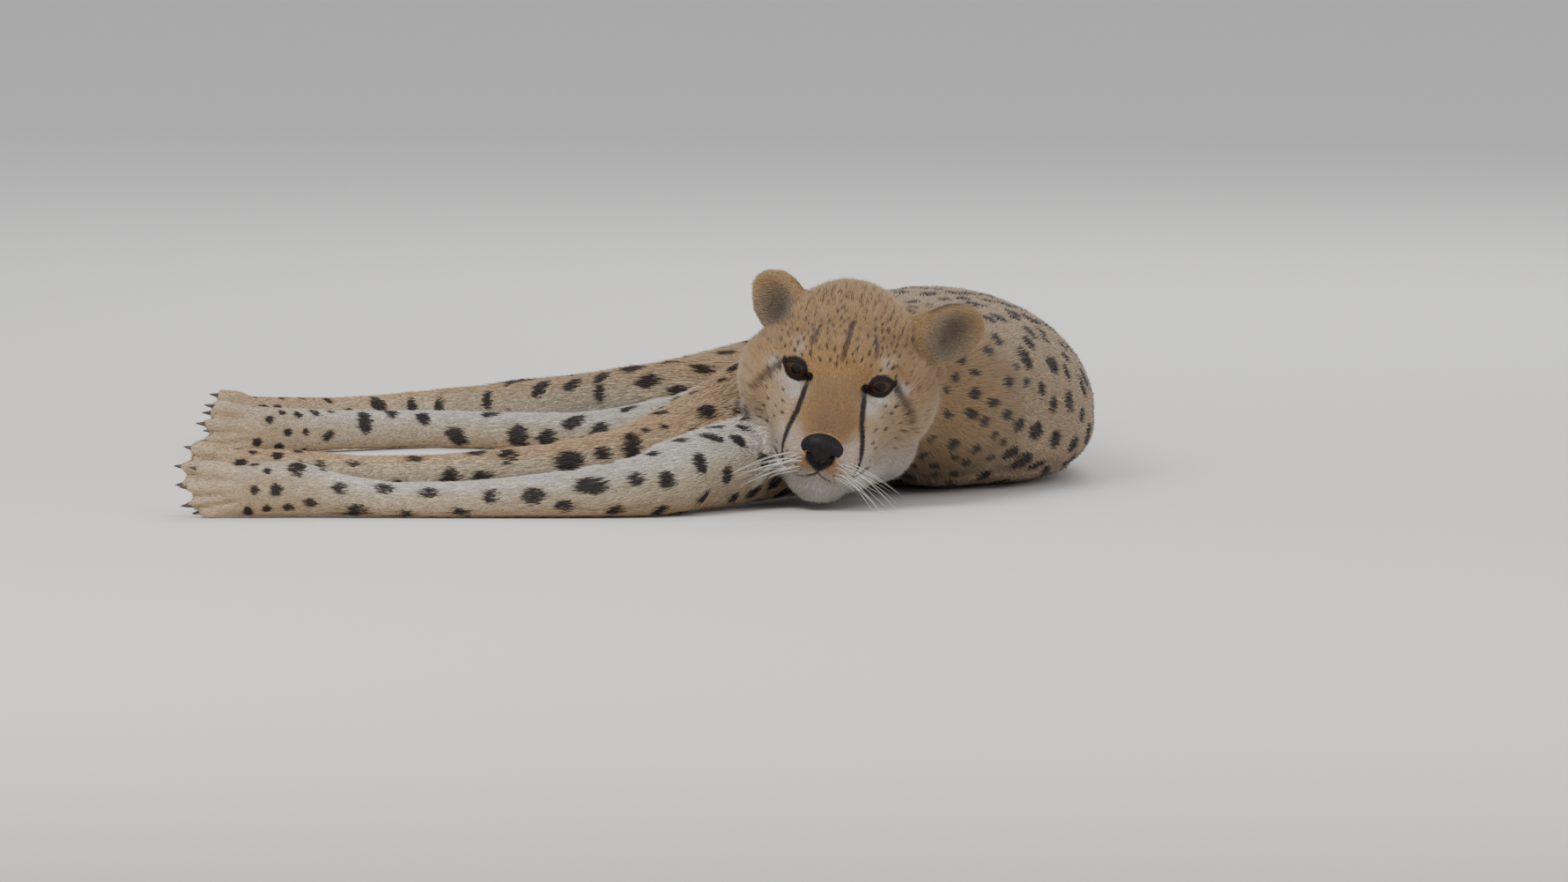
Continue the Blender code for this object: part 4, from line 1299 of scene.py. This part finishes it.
# A tuft of hair of length one along +Z: each corner's place, its place in a patch of the
# bake map, and how far from the root it is. The last corner is the tip.
TUFT = (
    ((-0.5, -0.15, -0.08), (-0.5, -0.5), 0.0),
    ((0.5, -0.15, -0.08), (0.5, -0.5), 0.0),
    ((0.0, 0.35, -0.08), (0.0, -0.38), 0.0),
    ((0.0, -0.10, 1.0), (0.0, 0.5), 1.0),
)
TUFT_FACES = ((2, 1, 0), (0, 1, 3), (1, 2, 3), (2, 0, 3))


def make_tuft() -> Object:
    """Make the closed, thin tuft that the sower copies."""
    mesh = bpy.data.meshes.new("tuft")
    mesh.from_pydata([corner for corner, _, _ in TUFT], [], TUFT_FACES)
    # rise runs from 0 at the root to 1 at the tip; the fur's finish uses it for painted shade at
    # the root.
    put(mesh, "rise", "FLOAT", np.array([rise for _, _, rise in TUFT]))
    tuft = add_object("tuft", mesh)
    mesh.shade_smooth()
    tuft.hide_render = True
    return tuft


@dataclass
class Sower:
    """Geometry Nodes tree that sows tufts over a mesh along its stored flow."""

    jitter: float = 0.16
    shortest: float = 0.70
    longest: float = 1.20
    tree: bpy.types.NodeTree = field(init=False)
    sockets: dict[str, str] = field(init=False)

    def __post_init__(self) -> None:
        """Build the tree."""
        self.tree = bpy.data.node_groups.new("sow_tufts", "GeometryNodeTree")
        face = self.tree.interface
        face.new_socket("Geometry", in_out="OUTPUT", socket_type="NodeSocketGeometry")
        kinds = {"Geometry": "Geometry", "Tuft": "Object", "Density": "Float", "Seed": "Int",
                 "Finish": "Material"}
        self.sockets = {
            name: face.new_socket(name, in_out="INPUT",
                                  socket_type=f"NodeSocket{kind}").identifier
            for name, kind in kinds.items()
        }
        graph = Graph(self.tree)
        source = self.tree.nodes.new("NodeGroupInput").outputs

        def stored(name: str, kind: str = "FLOAT") -> Socket:
            return graph.add("GeometryNodeInputNamedAttribute", {"Name": name}, "Attribute",
                             data_type=kind)

        def keep(geometry: Socket, name: str, value: Socket) -> Socket:
            return graph.add("GeometryNodeStoreNamedAttribute",
                             {"Name": name, "Geometry": geometry, "Value": value}, "Geometry",
                             data_type="FLOAT_VECTOR", domain="POINT")

        def towards(inputs: dict[str, Socket], **settings: str) -> Socket:
            return graph.add("FunctionNodeAlignRotationToVector", inputs, "Rotation", **settings)

        scatter = graph.add("GeometryNodeDistributePointsOnFaces", {
            "Mesh": source["Geometry"], "Seed": source["Seed"],
            "Density": graph.times(stored("density"), source["Density"]),
        }, "Points", distribute_method="RANDOM")
        place = graph.add("GeometryNodeInputPosition", {}, "Position")
        points = keep(scatter, "root", place)
        points = keep(points, "root_normal", scatter.node.outputs["Normal"])
        normal = stored("root_normal", "FLOAT_VECTOR")
        stray = graph.add("FunctionNodeRandomValue", {
            "Min": (-self.jitter,) * 3, "Max": (self.jitter,) * 3,
        }, "Value", data_type="FLOAT_VECTOR")
        lean = graph.vector("ADD", {0: stored("flow", "FLOAT_VECTOR"), 1: stray})
        stand = graph.vector("SCALE", {0: normal, "Scale": stored("lift")})
        turn = towards({"Vector": graph.vector("ADD", {0: lean, 1: stand})}, axis="Z")
        roll = towards({"Rotation": turn, "Vector": normal}, axis="Y", pivot_axis="Z")
        vary = graph.add("FunctionNodeRandomValue",
                         {2: self.shortest, 3: self.longest, "Seed": 1}, 1, data_type="FLOAT")
        width = stored("width")
        size = graph.add("ShaderNodeCombineXYZ", {
            "X": width, "Y": width, "Z": graph.times(stored("length"), vary)}, "Vector")
        shape = graph.add("GeometryNodeObjectInfo", {"Object": source["Tuft"]}, "Geometry")
        tufts = graph.add("GeometryNodeInstanceOnPoints", {
            "Points": points, "Instance": shape, "Rotation": roll, "Scale": size}, "Instances")
        real = graph.add("GeometryNodeRealizeInstances", {"Geometry": tufts}, "Geometry")
        coat = graph.add("GeometryNodeSetMaterial",
                         {"Geometry": real, "Material": source["Finish"]}, "Geometry")
        graph.fill(self.tree.nodes.new("NodeGroupOutput"), {"Geometry": coat})

    def sow(self, bed: Object, **inputs: object) -> None:
        """Replace a bed of skin by the tufts that grow from it."""
        modifier = bed.modifiers.new("sow", "NODES")
        modifier.node_group = self.tree
        for name, value in inputs.items():
            modifier[self.sockets[name]] = value
        settle(bed)


@dataclass(frozen=True)
class Patch:
    """One piece of the coat: where it grows and how many tufts it has."""

    name: str
    nodes: tuple[str, ...]
    tufts: int
    seed: int
    slot: str = "tan_coat"
    front: int = 0


@dataclass
class Fur:
    """The whole coat, in pieces that each stay small enough."""

    head: HeadFrame
    layout: Layout
    markings: Markings
    finish: Material
    patch_size: float = 0.0030
    variation: float = 0.16
    floor: float = 0.0004
    face_back: float = -0.045
    steps: int = 60
    lengths: dict[Part, tuple[float, float, float]] = field(default_factory=lambda: {
        Part.HEAD: (0.0060, 0.00065, 0.18), Part.NECK: (0.0118, 0.00100, 0.18),
        Part.TRUNK: (0.0088, 0.00115, 0.11), Part.TAIL: (0.0095, 0.00115, 0.16),
        Part.EAR: (0.0055, 0.00080, 0.18), **dict.fromkeys(LEGS, (0.0085, 0.00110, 0.15)),
    })
    patches: tuple[Patch, ...] = (
        Patch("coat_face_left", ("head",), 36000, 11, front=1),
        Patch("coat_face_right", ("head",), 36000, 12, front=2),
        Patch("coat_crown", ("head",), 24000, 13, front=3),
        Patch("coat_ears", NODES[Part.EAR], 13000, 14),
        Patch("coat_neck", ("neck",), 40000, 15),
        Patch("coat_chest", ("chest",), 42000, 16),
        Patch("coat_belly", ("belly",), 30000, 17, "cream_coat"),
        Patch("coat_hips", ("hips",), 26000, 18),
        Patch("coat_tail", TAIL, 18000, 19),
        Patch("coat_foreleg_right", NODES[Part.FORELEG_RIGHT], 26000, 20, "cream_coat"),
        Patch("coat_foreleg_left", NODES[Part.FORELEG_LEFT], 26000, 21, "cream_coat"),
        Patch("coat_hind_leg_right", NODES[Part.HINDLEG_RIGHT], 25000, 22, "cream_coat"),
        Patch("coat_hind_leg_left", NODES[Part.HINDLEG_LEFT], 21000, 23, "cream_coat"),
    )

    def lie(self, rows: Rows, facing: Rows, pairs: Rows, part: Rows, node: Rows) -> Rows:
        """Direction in which the hair lies at each corner of the skin."""
        flow = np.zeros_like(rows)
        for key, path in self.layout.paths.items():
            on = part == key.value
            steps = np.linspace(0.0, len(path) - 1.001, self.steps)
            whole = steps.astype(int)
            middles = path[whole] + (path[whole + 1] - path[whole]) * (steps - whole)[:, None]
            runs = spread(unit(path[whole + 1] - path[whole]), np.column_stack(
                [np.arange(self.steps - 1), np.arange(1, self.steps)]), 6)
            apart = np.linalg.norm(rows[on][:, None, :] - middles[None, :, :], axis=2)
            weight = np.exp(-((apart - apart.min(axis=1, keepdims=True)) / 0.02))
            flow[on] = unit(weight @ runs)
        on = part == Part.HEAD.value
        local = self.head.inward(rows[on])
        away = local - np.array((0.0, 0.060, -0.045))
        away[:, 0] *= 0.75
        chin = smooth_step(-0.058, -0.072, local[:, 2])
        away = unit(away) + np.array((0.0, -0.6, -0.5)) * chin[:, None]
        flow[on] = self.head.direction(unit(away))
        root = np.array(self.head.matrix @ Vector((0.0, -0.06, 0.0)))
        for name in NODES[Part.EAR]:
            flow[node == FLESH.index(name)] = unit(np.array(middle_of(name)) - root)
        flow = spread(flow, pairs, 25)
        return unit(flow - facing * np.einsum("ij,ij->i", flow, facing)[:, None])

    def comb(self, skin: Object) -> None:
        """Store the lie, length, width, lift and density of the hair on the skin."""
        mesh, face = skin.data, self.markings.face
        rows, facing, pairs = points_of(mesh), normals_of(mesh), edges_of(mesh)
        part, node = labels(mesh, "part"), labels(mesh, "node")
        local = self.head.inward(rows)
        on_head = part == Part.HEAD.value
        table = np.array([self.lengths[Part(k)] for k in range(len(Part))])[part]
        muzzle = smooth_step(0.000, 0.045, local[:, 1]) * on_head
        beard = smooth_step(-0.070, -0.080, local[:, 2]) * smooth_step(-0.02, 0.02, local[:, 1])
        muzzle *= 1.0 - 1.2 * beard
        table[:, 0] *= 1.0 - 0.50 * muzzle
        table[:, 1] *= 1.0 - 0.20 * muzzle
        cheek = smooth_step(0.050, 0.066, np.abs(local[:, 0])) * on_head
        cheek = np.maximum(cheek, smooth_step(-0.03, -0.08, local[:, 1]) * on_head)
        table[:, 0] *= 1.0 + 0.9 * cheek
        table[:, 2] *= 1.0 + 0.5 * cheek
        dense = np.zeros(len(rows))
        for leg in LEGS:
            on = part == leg.value
            place = self.layout.place(leg, rows)[on]
            table[on, 0] *= 1.35 - 0.80 * smooth_step(0.1, 0.9, place)
            table[on, 1] *= 1.0 - 0.35 * smooth_step(0.78, 0.90, place)
            table[on, 0] *= 1.0 - 0.40 * smooth_step(0.92, 0.97, place)
            dense[on] = 0.8 * smooth_step(0.78, 0.90, place)
        under = smooth_step(0.3, 0.9, -facing[:, 0]) * (part == Part.TRUNK.value)
        table[:, 0] *= 1.0 + 0.6 * under
        table[:, 2] *= 1.0 + 0.8 * under
        brush = smooth_step(0.90, 0.97, self.layout.place(Part.TAIL, rows))
        table[:, 0] *= 1.0 + 0.8 * (brush * (part == Part.TAIL.value))
        table = spread(table, pairs, 10)
        resting = smooth_step(0.020, 0.004, rows[:, 2]) * smooth_step(-0.5, -0.95, facing[:, 2])
        density = (1.0 + dense) * (1.0 - 0.96 * resting)
        nose = (local - np.array(face.nose)) / np.array(face.nose_radii)
        density *= smooth_step(0.96, 1.06, np.linalg.norm(nose, axis=1))
        for side in (1, -1):
            eye, rim = face.opening(local, side)
            ahead = eye[:, 2] > 0.0
            density[(rim < 0.0014) & ahead] = 0.0
            table[:, 0] *= 1.0 - 0.55 * (smooth_step(0.0140, 0.0020, rim) * ahead)
        flow = self.lie(rows, facing, pairs, part, node)
        ground = spread(self.markings.ground(rows, facing, part, node), pairs, 3)
        for name, kind, values in (
            ("flow", "FLOAT_VECTOR", flow), ("length", "FLOAT", table[:, 0]),
            ("width", "FLOAT", table[:, 1]), ("lift", "FLOAT", table[:, 2]),
            ("density", "FLOAT", density), ("ground", "FLOAT_VECTOR", ground),
        ):
            put(mesh, name, kind, values)

    def tint_skin(self, skin: Object) -> None:
        """Store the coat's colours on the skin itself."""
        mesh = skin.data
        colour = self.markings.colour(
            points_of(mesh), take(mesh, "ground", 3), labels(mesh, "part"))
        put(mesh, "Tint", "FLOAT_COLOR", to_colour(colour))

    def bed(self, skin: Object, patch: Patch) -> Object:
        """Copy the part of the skin on which a piece of the coat grows."""
        mesh = skin.data
        on = np.isin(labels(mesh, "node"), [FLESH.index(name) for name in patch.nodes])
        if patch.front:
            local = self.head.inward(points_of(mesh))
            ahead = local[:, 1] > self.face_back
            side = {1: ahead & (local[:, 0] >= 0), 2: ahead & (local[:, 0] < 0), 3: ~ahead}
            on &= side[patch.front]
        bm = to_bmesh(mesh)
        rest = np.nonzero(~on[triangles_of(mesh)[:, 0]])[0]
        bmesh.ops.delete(bm, geom=[bm.faces[k] for k in rest], context="FACES")
        return from_bmesh(patch.name, bm)

    def grow(self, skin: Object, share: float) -> None:
        """Sow every piece of the coat and colour its tufts.

        Args:
            skin: The combed skin.
            share: Share of the tufts that are grown, less than 1 while trying things out.
        """
        sower, tuft = Sower(), make_tuft()
        for patch in self.patches:
            coat = self.bed(skin, patch)
            mesh = coat.data
            density = take(mesh, "density")[:, 0][triangles_of(mesh)].mean(axis=1)
            area = float((read(mesh.polygons, "area", 1)[:, 0] * density).sum())
            sower.sow(coat, Tuft=tuft, Density=patch.tufts * share / area, Seed=patch.seed,
                      Finish=self.finish)
            self.colour(coat, patch)
            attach(coat, "root")
            LOG.info("%s: %d triangles", patch.name, len(coat.data.polygons))
        bpy.data.objects.remove(tuft, do_unlink=True)

    def colour(self, coat: Object, patch: Patch) -> None:
        """Store tint and bake map on the tufts, each by its root."""
        mesh, corners = coat.data, len(TUFT)

        def roots(name: str, width: int = 1) -> Rows:
            return take(mesh, name, width)[::corners]

        lying = 0.5 * roots("length") * roots("flow", 3)
        part = np.rint(roots("part")[:, 0]).astype(int)
        tint = self.markings.colour(roots("root", 3) + lying, roots("ground", 3), part)
        random = np.random.default_rng(patch.seed)
        tint *= random.uniform(1.0 - self.variation, 1.0 + self.variation, (len(tint), 1))
        put(mesh, "Tint", "FLOAT_COLOR", to_colour(np.repeat(tint, corners, axis=0)))
        rows = points_of(mesh)
        rows[:, 2] = np.maximum(rows[:, 2], self.floor)
        move_points(mesh, rows)
        flat = np.array([place for _, place, _ in TUFT]) * self.patch_size
        place = (roots("root_uv", 3)[:, None, :2] + flat).reshape(-1, 2)
        for name in ("OFBake", "root", "root_normal", "root_uv", "ground", "flow", "length",
                     "width", "lift", "density", "part", "node"):
            drop(mesh, name)
        loops = read(mesh.loops, "vertex_index", 1, np.int32)[:, 0]
        layer = mesh.uv_layers.new(name="OFBake")
        layer.data.foreach_set("uv", place[loops].astype(np.float32).ravel())


def unwrap(skin: Object) -> None:
    """Unwrap the skin by its own shape, and store the map on its corners too."""
    bpy.ops.object.select_all(action="DESELECT")
    skin.select_set(True)
    bpy.context.view_layer.objects.active = skin
    skin.data.uv_layers.new(name="OFBake")
    bpy.ops.object.mode_set(mode="EDIT")
    bpy.ops.mesh.select_all(action="SELECT")
    bpy.ops.uv.smart_project(angle_limit=math.radians(75.0), island_margin=0.002)
    bpy.ops.object.mode_set(mode="OBJECT")
    mesh = skin.data
    uv = read(mesh.uv_layers["OFBake"].data, "uv", 2)
    layer = mesh.attributes.new("root_uv", "FLOAT_VECTOR", "CORNER")
    layer.data.foreach_set("vector", np.pad(uv, ((0, 0), (0, 1))).ravel())


# ------------------------------------------------------------------ eyes, nose, claws, whiskers

@dataclass
class Eyes:
    """Eyeballs with a raised cornea, and the dark margins of their lids."""

    head: HeadFrame
    face: Face
    bulge: float = 0.0007
    bulge_reach: float = 0.0105
    margin: float = 0.0009
    rounds: int = 96
    section: int = 10

    def ball(self, side: int, name: str, finish: Material) -> Object:
        """Make one eyeball."""
        bm = bmesh.new()
        bmesh.ops.create_icosphere(bm, subdivisions=5, radius=1.0)
        eye = from_bmesh(name, bm)
        rows = points_of(eye.data)
        gaze = rows * np.array((float(side), 1.0, 1.0))
        middle, axes = self.face.eye_axes(side)
        radius = self.face.eye_radius
        flat = np.linalg.norm(rows[:, :2], axis=1) * radius
        swell = 1.0 + self.bulge / radius * bell(flat, self.bulge_reach) * (rows[:, 2] > 0)
        shaped = (rows * swell[:, None] * radius) @ axes + middle
        move_points(eye.data, self.head.outward(shaped))
        put(eye.data, "gaze", "FLOAT_VECTOR", gaze)
        return finished(eye, finish)

    def rim(self, side: int, name: str, finish: Material) -> Object:
        """Make the margin of one eye's lids as a ring that follows their edge."""
        middle, axes = self.face.eye_axes(side)
        angles = np.linspace(0.0, 2.0 * math.pi, self.rounds, endpoint=False)
        across = self.face.half_width * np.cos(angles)
        upper, lower = self.face.lid_edge(across)
        high = np.where(np.sin(angles) >= 0.0, upper, lower)
        reach = self.face.eye_radius + 0.5 * self.face.lid
        ahead = np.sqrt(reach ** 2 - across ** 2 - high ** 2)
        order = np.arange(self.rounds)
        path = spread(np.column_stack([across, high, ahead]),
                      np.column_stack([order, np.roll(order, -1)]), 2)
        path = unit(path) * reach
        bm = bmesh.new()
        add_tube(bm, self.head.outward(path @ axes + middle), np.full(self.rounds, self.margin),
                 self.section, True)
        return finished(from_bmesh(name, bm), finish)


def add_tube(bm: BMesh, path: Rows, radii: Rows, section: int, closed: bool = False) -> None:
    """Add a tube along a path to a bmesh.

    Args:
        bm: The bmesh.
        path: Points of the path.
        radii: The tube's radius at each.
        section: Corners of its cross-section.
        closed: Whether the path joins its own start.
    """
    count = len(path)
    normal = Vector((0.0, 0.0, 1.0))
    rings = []
    for k in range(count):
        ahead = path[(k + 1) % count] if closed or k < count - 1 else path[k]
        behind = path[k - 1] if closed or k else path[k]
        along = Vector(ahead - behind).normalized()
        normal = (normal - along * normal.dot(along)).normalized()
        side = along.cross(normal)
        ring = []
        for c in range(section):
            angle = 2.0 * math.pi * c / section
            offset = (normal * math.cos(angle) + side * math.sin(angle)) * float(radii[k])
            ring.append(bm.verts.new(Vector(path[k]) + offset))
        rings.append(ring)
    pairs = list(zip(rings, rings[1:]))
    if closed:
        shift = min(range(section), key=lambda s: (rings[0][s].co - rings[-1][0].co).length)
        pairs.append((rings[-1], rings[0][shift:] + rings[0][:shift]))
    for low, high in pairs:
        for c in range(section):
            n = (c + 1) % section
            bm.faces.new((low[c], low[n], high[n], high[c]))
    if not closed:
        bm.faces.new(rings[0])
        bm.faces.new(rings[-1])


@dataclass
class Nose:
    """The bare pad of the nose with its nostrils."""

    head: HeadFrame
    face: Face
    pitch: float = -20.0
    narrow: float = 0.30
    nostril: tuple[float, float] = (0.58, -0.04)
    slit: tuple[tuple[float, float], ...] = ((0.62, -0.02), (0.80, -0.16), (0.99, -0.12))
    depth: float = 0.0080

    def build(self, finish: Material) -> Object:
        """Make the pad."""
        bm = bmesh.new()
        bmesh.ops.create_icosphere(bm, subdivisions=6, radius=1.0)
        nose = from_bmesh("nose_pad", bm)
        rows = points_of(nose.data)
        x, y, z = rows.T
        taper = self.narrow + (1.0 - self.narrow) * smooth_step(-1.0, 0.15, z)
        size = np.abs(x)
        hole = np.hypot((size - self.nostril[0]) / 0.20, (z - self.nostril[1]) / 0.20)
        slit, along = along_path(np.column_stack([size, z]), self.slit)
        push = bell(hole, 0.85) * self.depth
        push = np.maximum(push, bell(slit, 0.085) * 0.0045 * (1.0 - 0.5 * along))
        push = push + 0.0012 * bell(size, 0.09) * smooth_step(0.35, -0.1, z)
        wing = 0.0010 * bell(np.abs(hole - 1.6), 0.5)
        shaped = np.column_stack([x * taper, y, z]) * np.array(self.face.nose_radii)
        shaped[:, 1] += (wing - push) * smooth_step(-0.1, 0.3, y)
        turn = math.radians(self.pitch)
        tilt = np.array(((1, 0, 0), (0, math.cos(turn), -math.sin(turn)),
                         (0, math.sin(turn), math.cos(turn))))
        local = shaped @ tilt.T + np.array(self.face.nose)
        move_points(nose.data, self.head.outward(local))
        return finished(nose, finish)


@dataclass
class Claws:
    """Four claws on each paw, where the model's toes end."""

    layout: Layout
    radius: float = 0.0023
    length: float = 0.0105
    start: float = 0.0155
    hook: float = 0.0040

    def build(self, finish: Material) -> Object:
        """Make all the claws as one piece."""
        bm = bmesh.new()
        t = np.linspace(0.0, 1.0, 9)[:, None]
        for paw in PAWS:
            for middle, heading in self.layout.toes(paw):
                side = unit(np.cross(heading, (0.0, 0.0, 1.0)))
                hook = side * (self.hook if side[1] > 0 else -self.hook)
                path = middle + heading * (self.start + self.length * t) + hook * t * t
                add_tube(bm, path, self.radius * (1.0 - 0.80 * t[:, 0] ** 2.0), 10)
        return finished(from_bmesh("claws", bm), finish)


@dataclass
class Whiskers:
    """Long tapering hairs on the lips."""

    head: HeadFrame
    seed: int = 5
    radius: float = 0.00022
    rows: tuple[tuple[float, float, int], ...] = (
        (-0.0495, 0.058, 3), (-0.0545, 0.060, 4), (-0.0595, 0.060, 4), (-0.0645, 0.056, 3),
    )
    reach: tuple[float, float] = (0.030, 0.070)
    standoff: float = 0.03
    cast: float = 0.08
    floor: float = 0.002

    def build(self, skin: Object, finish: Material) -> Object:
        """Make all the whiskers as one piece."""
        tree = BVHTree.FromPolygons([v.co for v in skin.data.vertices],
                                    [p.vertices for p in skin.data.polygons])
        random = np.random.default_rng(self.seed)
        bm = bmesh.new()
        t = np.linspace(0.0, 1.0, 12)
        aim = self.head.matrix.to_3x3() @ Vector((0.0, -1.0, 0.0))
        aim.normalize()
        for side in (1, -1):
            for rise, ahead, count in self.rows:
                for k in range(count):
                    out = 0.0140 + 0.0052 * k + random.uniform(-0.0008, 0.0008)
                    high = rise + random.uniform(-0.0006, 0.0006)
                    start = self.head.matrix @ Vector((side * out, ahead + self.standoff, high))
                    hit = tree.ray_cast(start, aim, self.cast)[0]
                    if hit is None:
                        continue
                    length = random.uniform(*self.reach) * (0.75 + 0.12 * k)
                    droop = random.uniform(0.15, 0.40) * length
                    lead = np.array((side * random.uniform(0.75, 0.95), random.uniform(0.10, 0.55),
                                     random.uniform(-0.35, 0.10)))
                    lead /= np.linalg.norm(lead)
                    bend = np.array((0.0, -0.55, -1.0)) * droop
                    local = lead * (length * t)[:, None] + bend * (t ** 2)[:, None]
                    base = np.array(self.head.matrix.inverted() @ hit)
                    path = self.head.outward(local + base)
                    path[:, 2] = np.maximum(path[:, 2], self.floor)
                    add_tube(bm, path, self.radius * (1.0 - 0.85 * t), 5)
        return finished(from_bmesh("whiskers", bm), finish)


# ------------------------------------------------------------------ floor, light, camera

@dataclass
class Studio:
    """A pale floor, soft lights and the camera."""

    aim: Point = (0.1223, -0.7183, 0.068)
    stand: Point = (0.1223, -20.6689, 1.463)
    lens: float = 546.6
    floor_size: float = 60.0
    floor_colour: Colour = (0.72, 0.70, 0.67)
    sky_colour: Colour = (0.93, 0.95, 1.0)
    sky_strength: float = 0.70
    lit: Point = (0.1, -0.3, 0.05)
    lamps: tuple[tuple[str, float, float, Colour, Point], ...] = (
        ("key", 105.0, 2.0, (1.0, 0.96, 0.90), (-1.6, -2.6, 2.9)),
        ("fill", 36.0, 3.0, (1.0, 1.0, 1.0), (2.4, -3.0, 1.6)),
        ("rim", 65.0, 2.0, (1.0, 1.0, 1.0), (0.8, 2.6, 2.6)),
    )

    @staticmethod
    def point(name: str, data: bpy.types.ID, place: Point, aim: Point) -> Object:
        """Put a light or a camera in its place and point it."""
        obj = add_object(name, data)
        obj.location = place
        obj.rotation_mode = "QUATERNION"
        obj.rotation_quaternion = (Vector(aim) - Vector(place)).to_track_quat("-Z", "Y")
        return obj

    def build(self) -> None:
        """Put up the studio."""
        bm = bmesh.new()
        bmesh.ops.create_grid(bm, x_segments=1, y_segments=1, size=self.floor_size / 2)
        floor = from_bmesh("floor", bm)
        material, graph, shader = new_material("floor_paper")
        graph.fill(shader, {"Base Color": (*self.floor_colour, 1.0), "Roughness": 0.9})
        floor.data.materials.append(material)
        world = bpy.data.worlds.new("studio")
        bpy.context.scene.world = world
        world.use_nodes = True
        Graph(world.node_tree).fill(world.node_tree.nodes["Background"], {
            "Color": (*self.sky_colour, 1.0), "Strength": self.sky_strength})
        for name, energy, size, colour, place in self.lamps:
            light = bpy.data.lights.new(name, "AREA")
            light.energy = energy
            light.size = size
            light.color = colour
            self.point(name, light, place, self.lit)
        data = bpy.data.cameras.new("camera")
        data.lens = self.lens
        data.sensor_width = 36.0
        data.clip_end = 200.0
        bpy.context.scene.camera = self.point("camera", data, self.stand, self.aim)

# ------------------------------------------------------------------ putting it together

def ride(piece: Object, slot: str, *nodes: str) -> None:
    """Fix a piece to the body and hide the model's pieces that it stands for."""
    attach(piece, "root")
    if nodes:
        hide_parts(*nodes)
    LOG.info("%s: %d faces", piece.name, len(piece.data.polygons))


def main() -> None:
    """Build the animal and its studio."""
    logging.basicConfig(level=logging.INFO, format="%(message)s")
    head = HeadFrame()
    layout = Layout()
    face = Face(head)
    skin = Skin(head, layout, face).build()
    markings = Markings(head, layout, face)
    fur = Fur(head, layout, markings, FUR_FINISH.build())
    fur.comb(skin)
    markings.place_spots(skin)
    fur.tint_skin(skin)
    unwrap(skin)
    skin.data.materials.append(SKIN_FINISH.build())
    fur.grow(skin, 1.0)
    ride(skin, "tan_coat", *FLESH)
    eyes = Eyes(head, face)
    eye_finish, lid_finish = EYE_FINISH.build(), LID_FINISH.build()
    for side, word in ((1, "left"), (-1, "right")):
        ride(eyes.ball(side, f"eyeball_{word}", eye_finish), "eye", f"eye_{word}")
        ride(eyes.rim(side, f"lid_margin_{word}", lid_finish), "nose_leather")
    ride(Nose(head, face).build(NOSE_FINISH.build()), "nose_leather", "nose")
    ride(Claws(layout).build(CLAW_FINISH.build()), "nose_leather")
    ride(Whiskers(head).build(skin, WHISKER_FINISH.build()), "cream_coat")
    Studio().build()


if __name__ == "__main__":
    main()
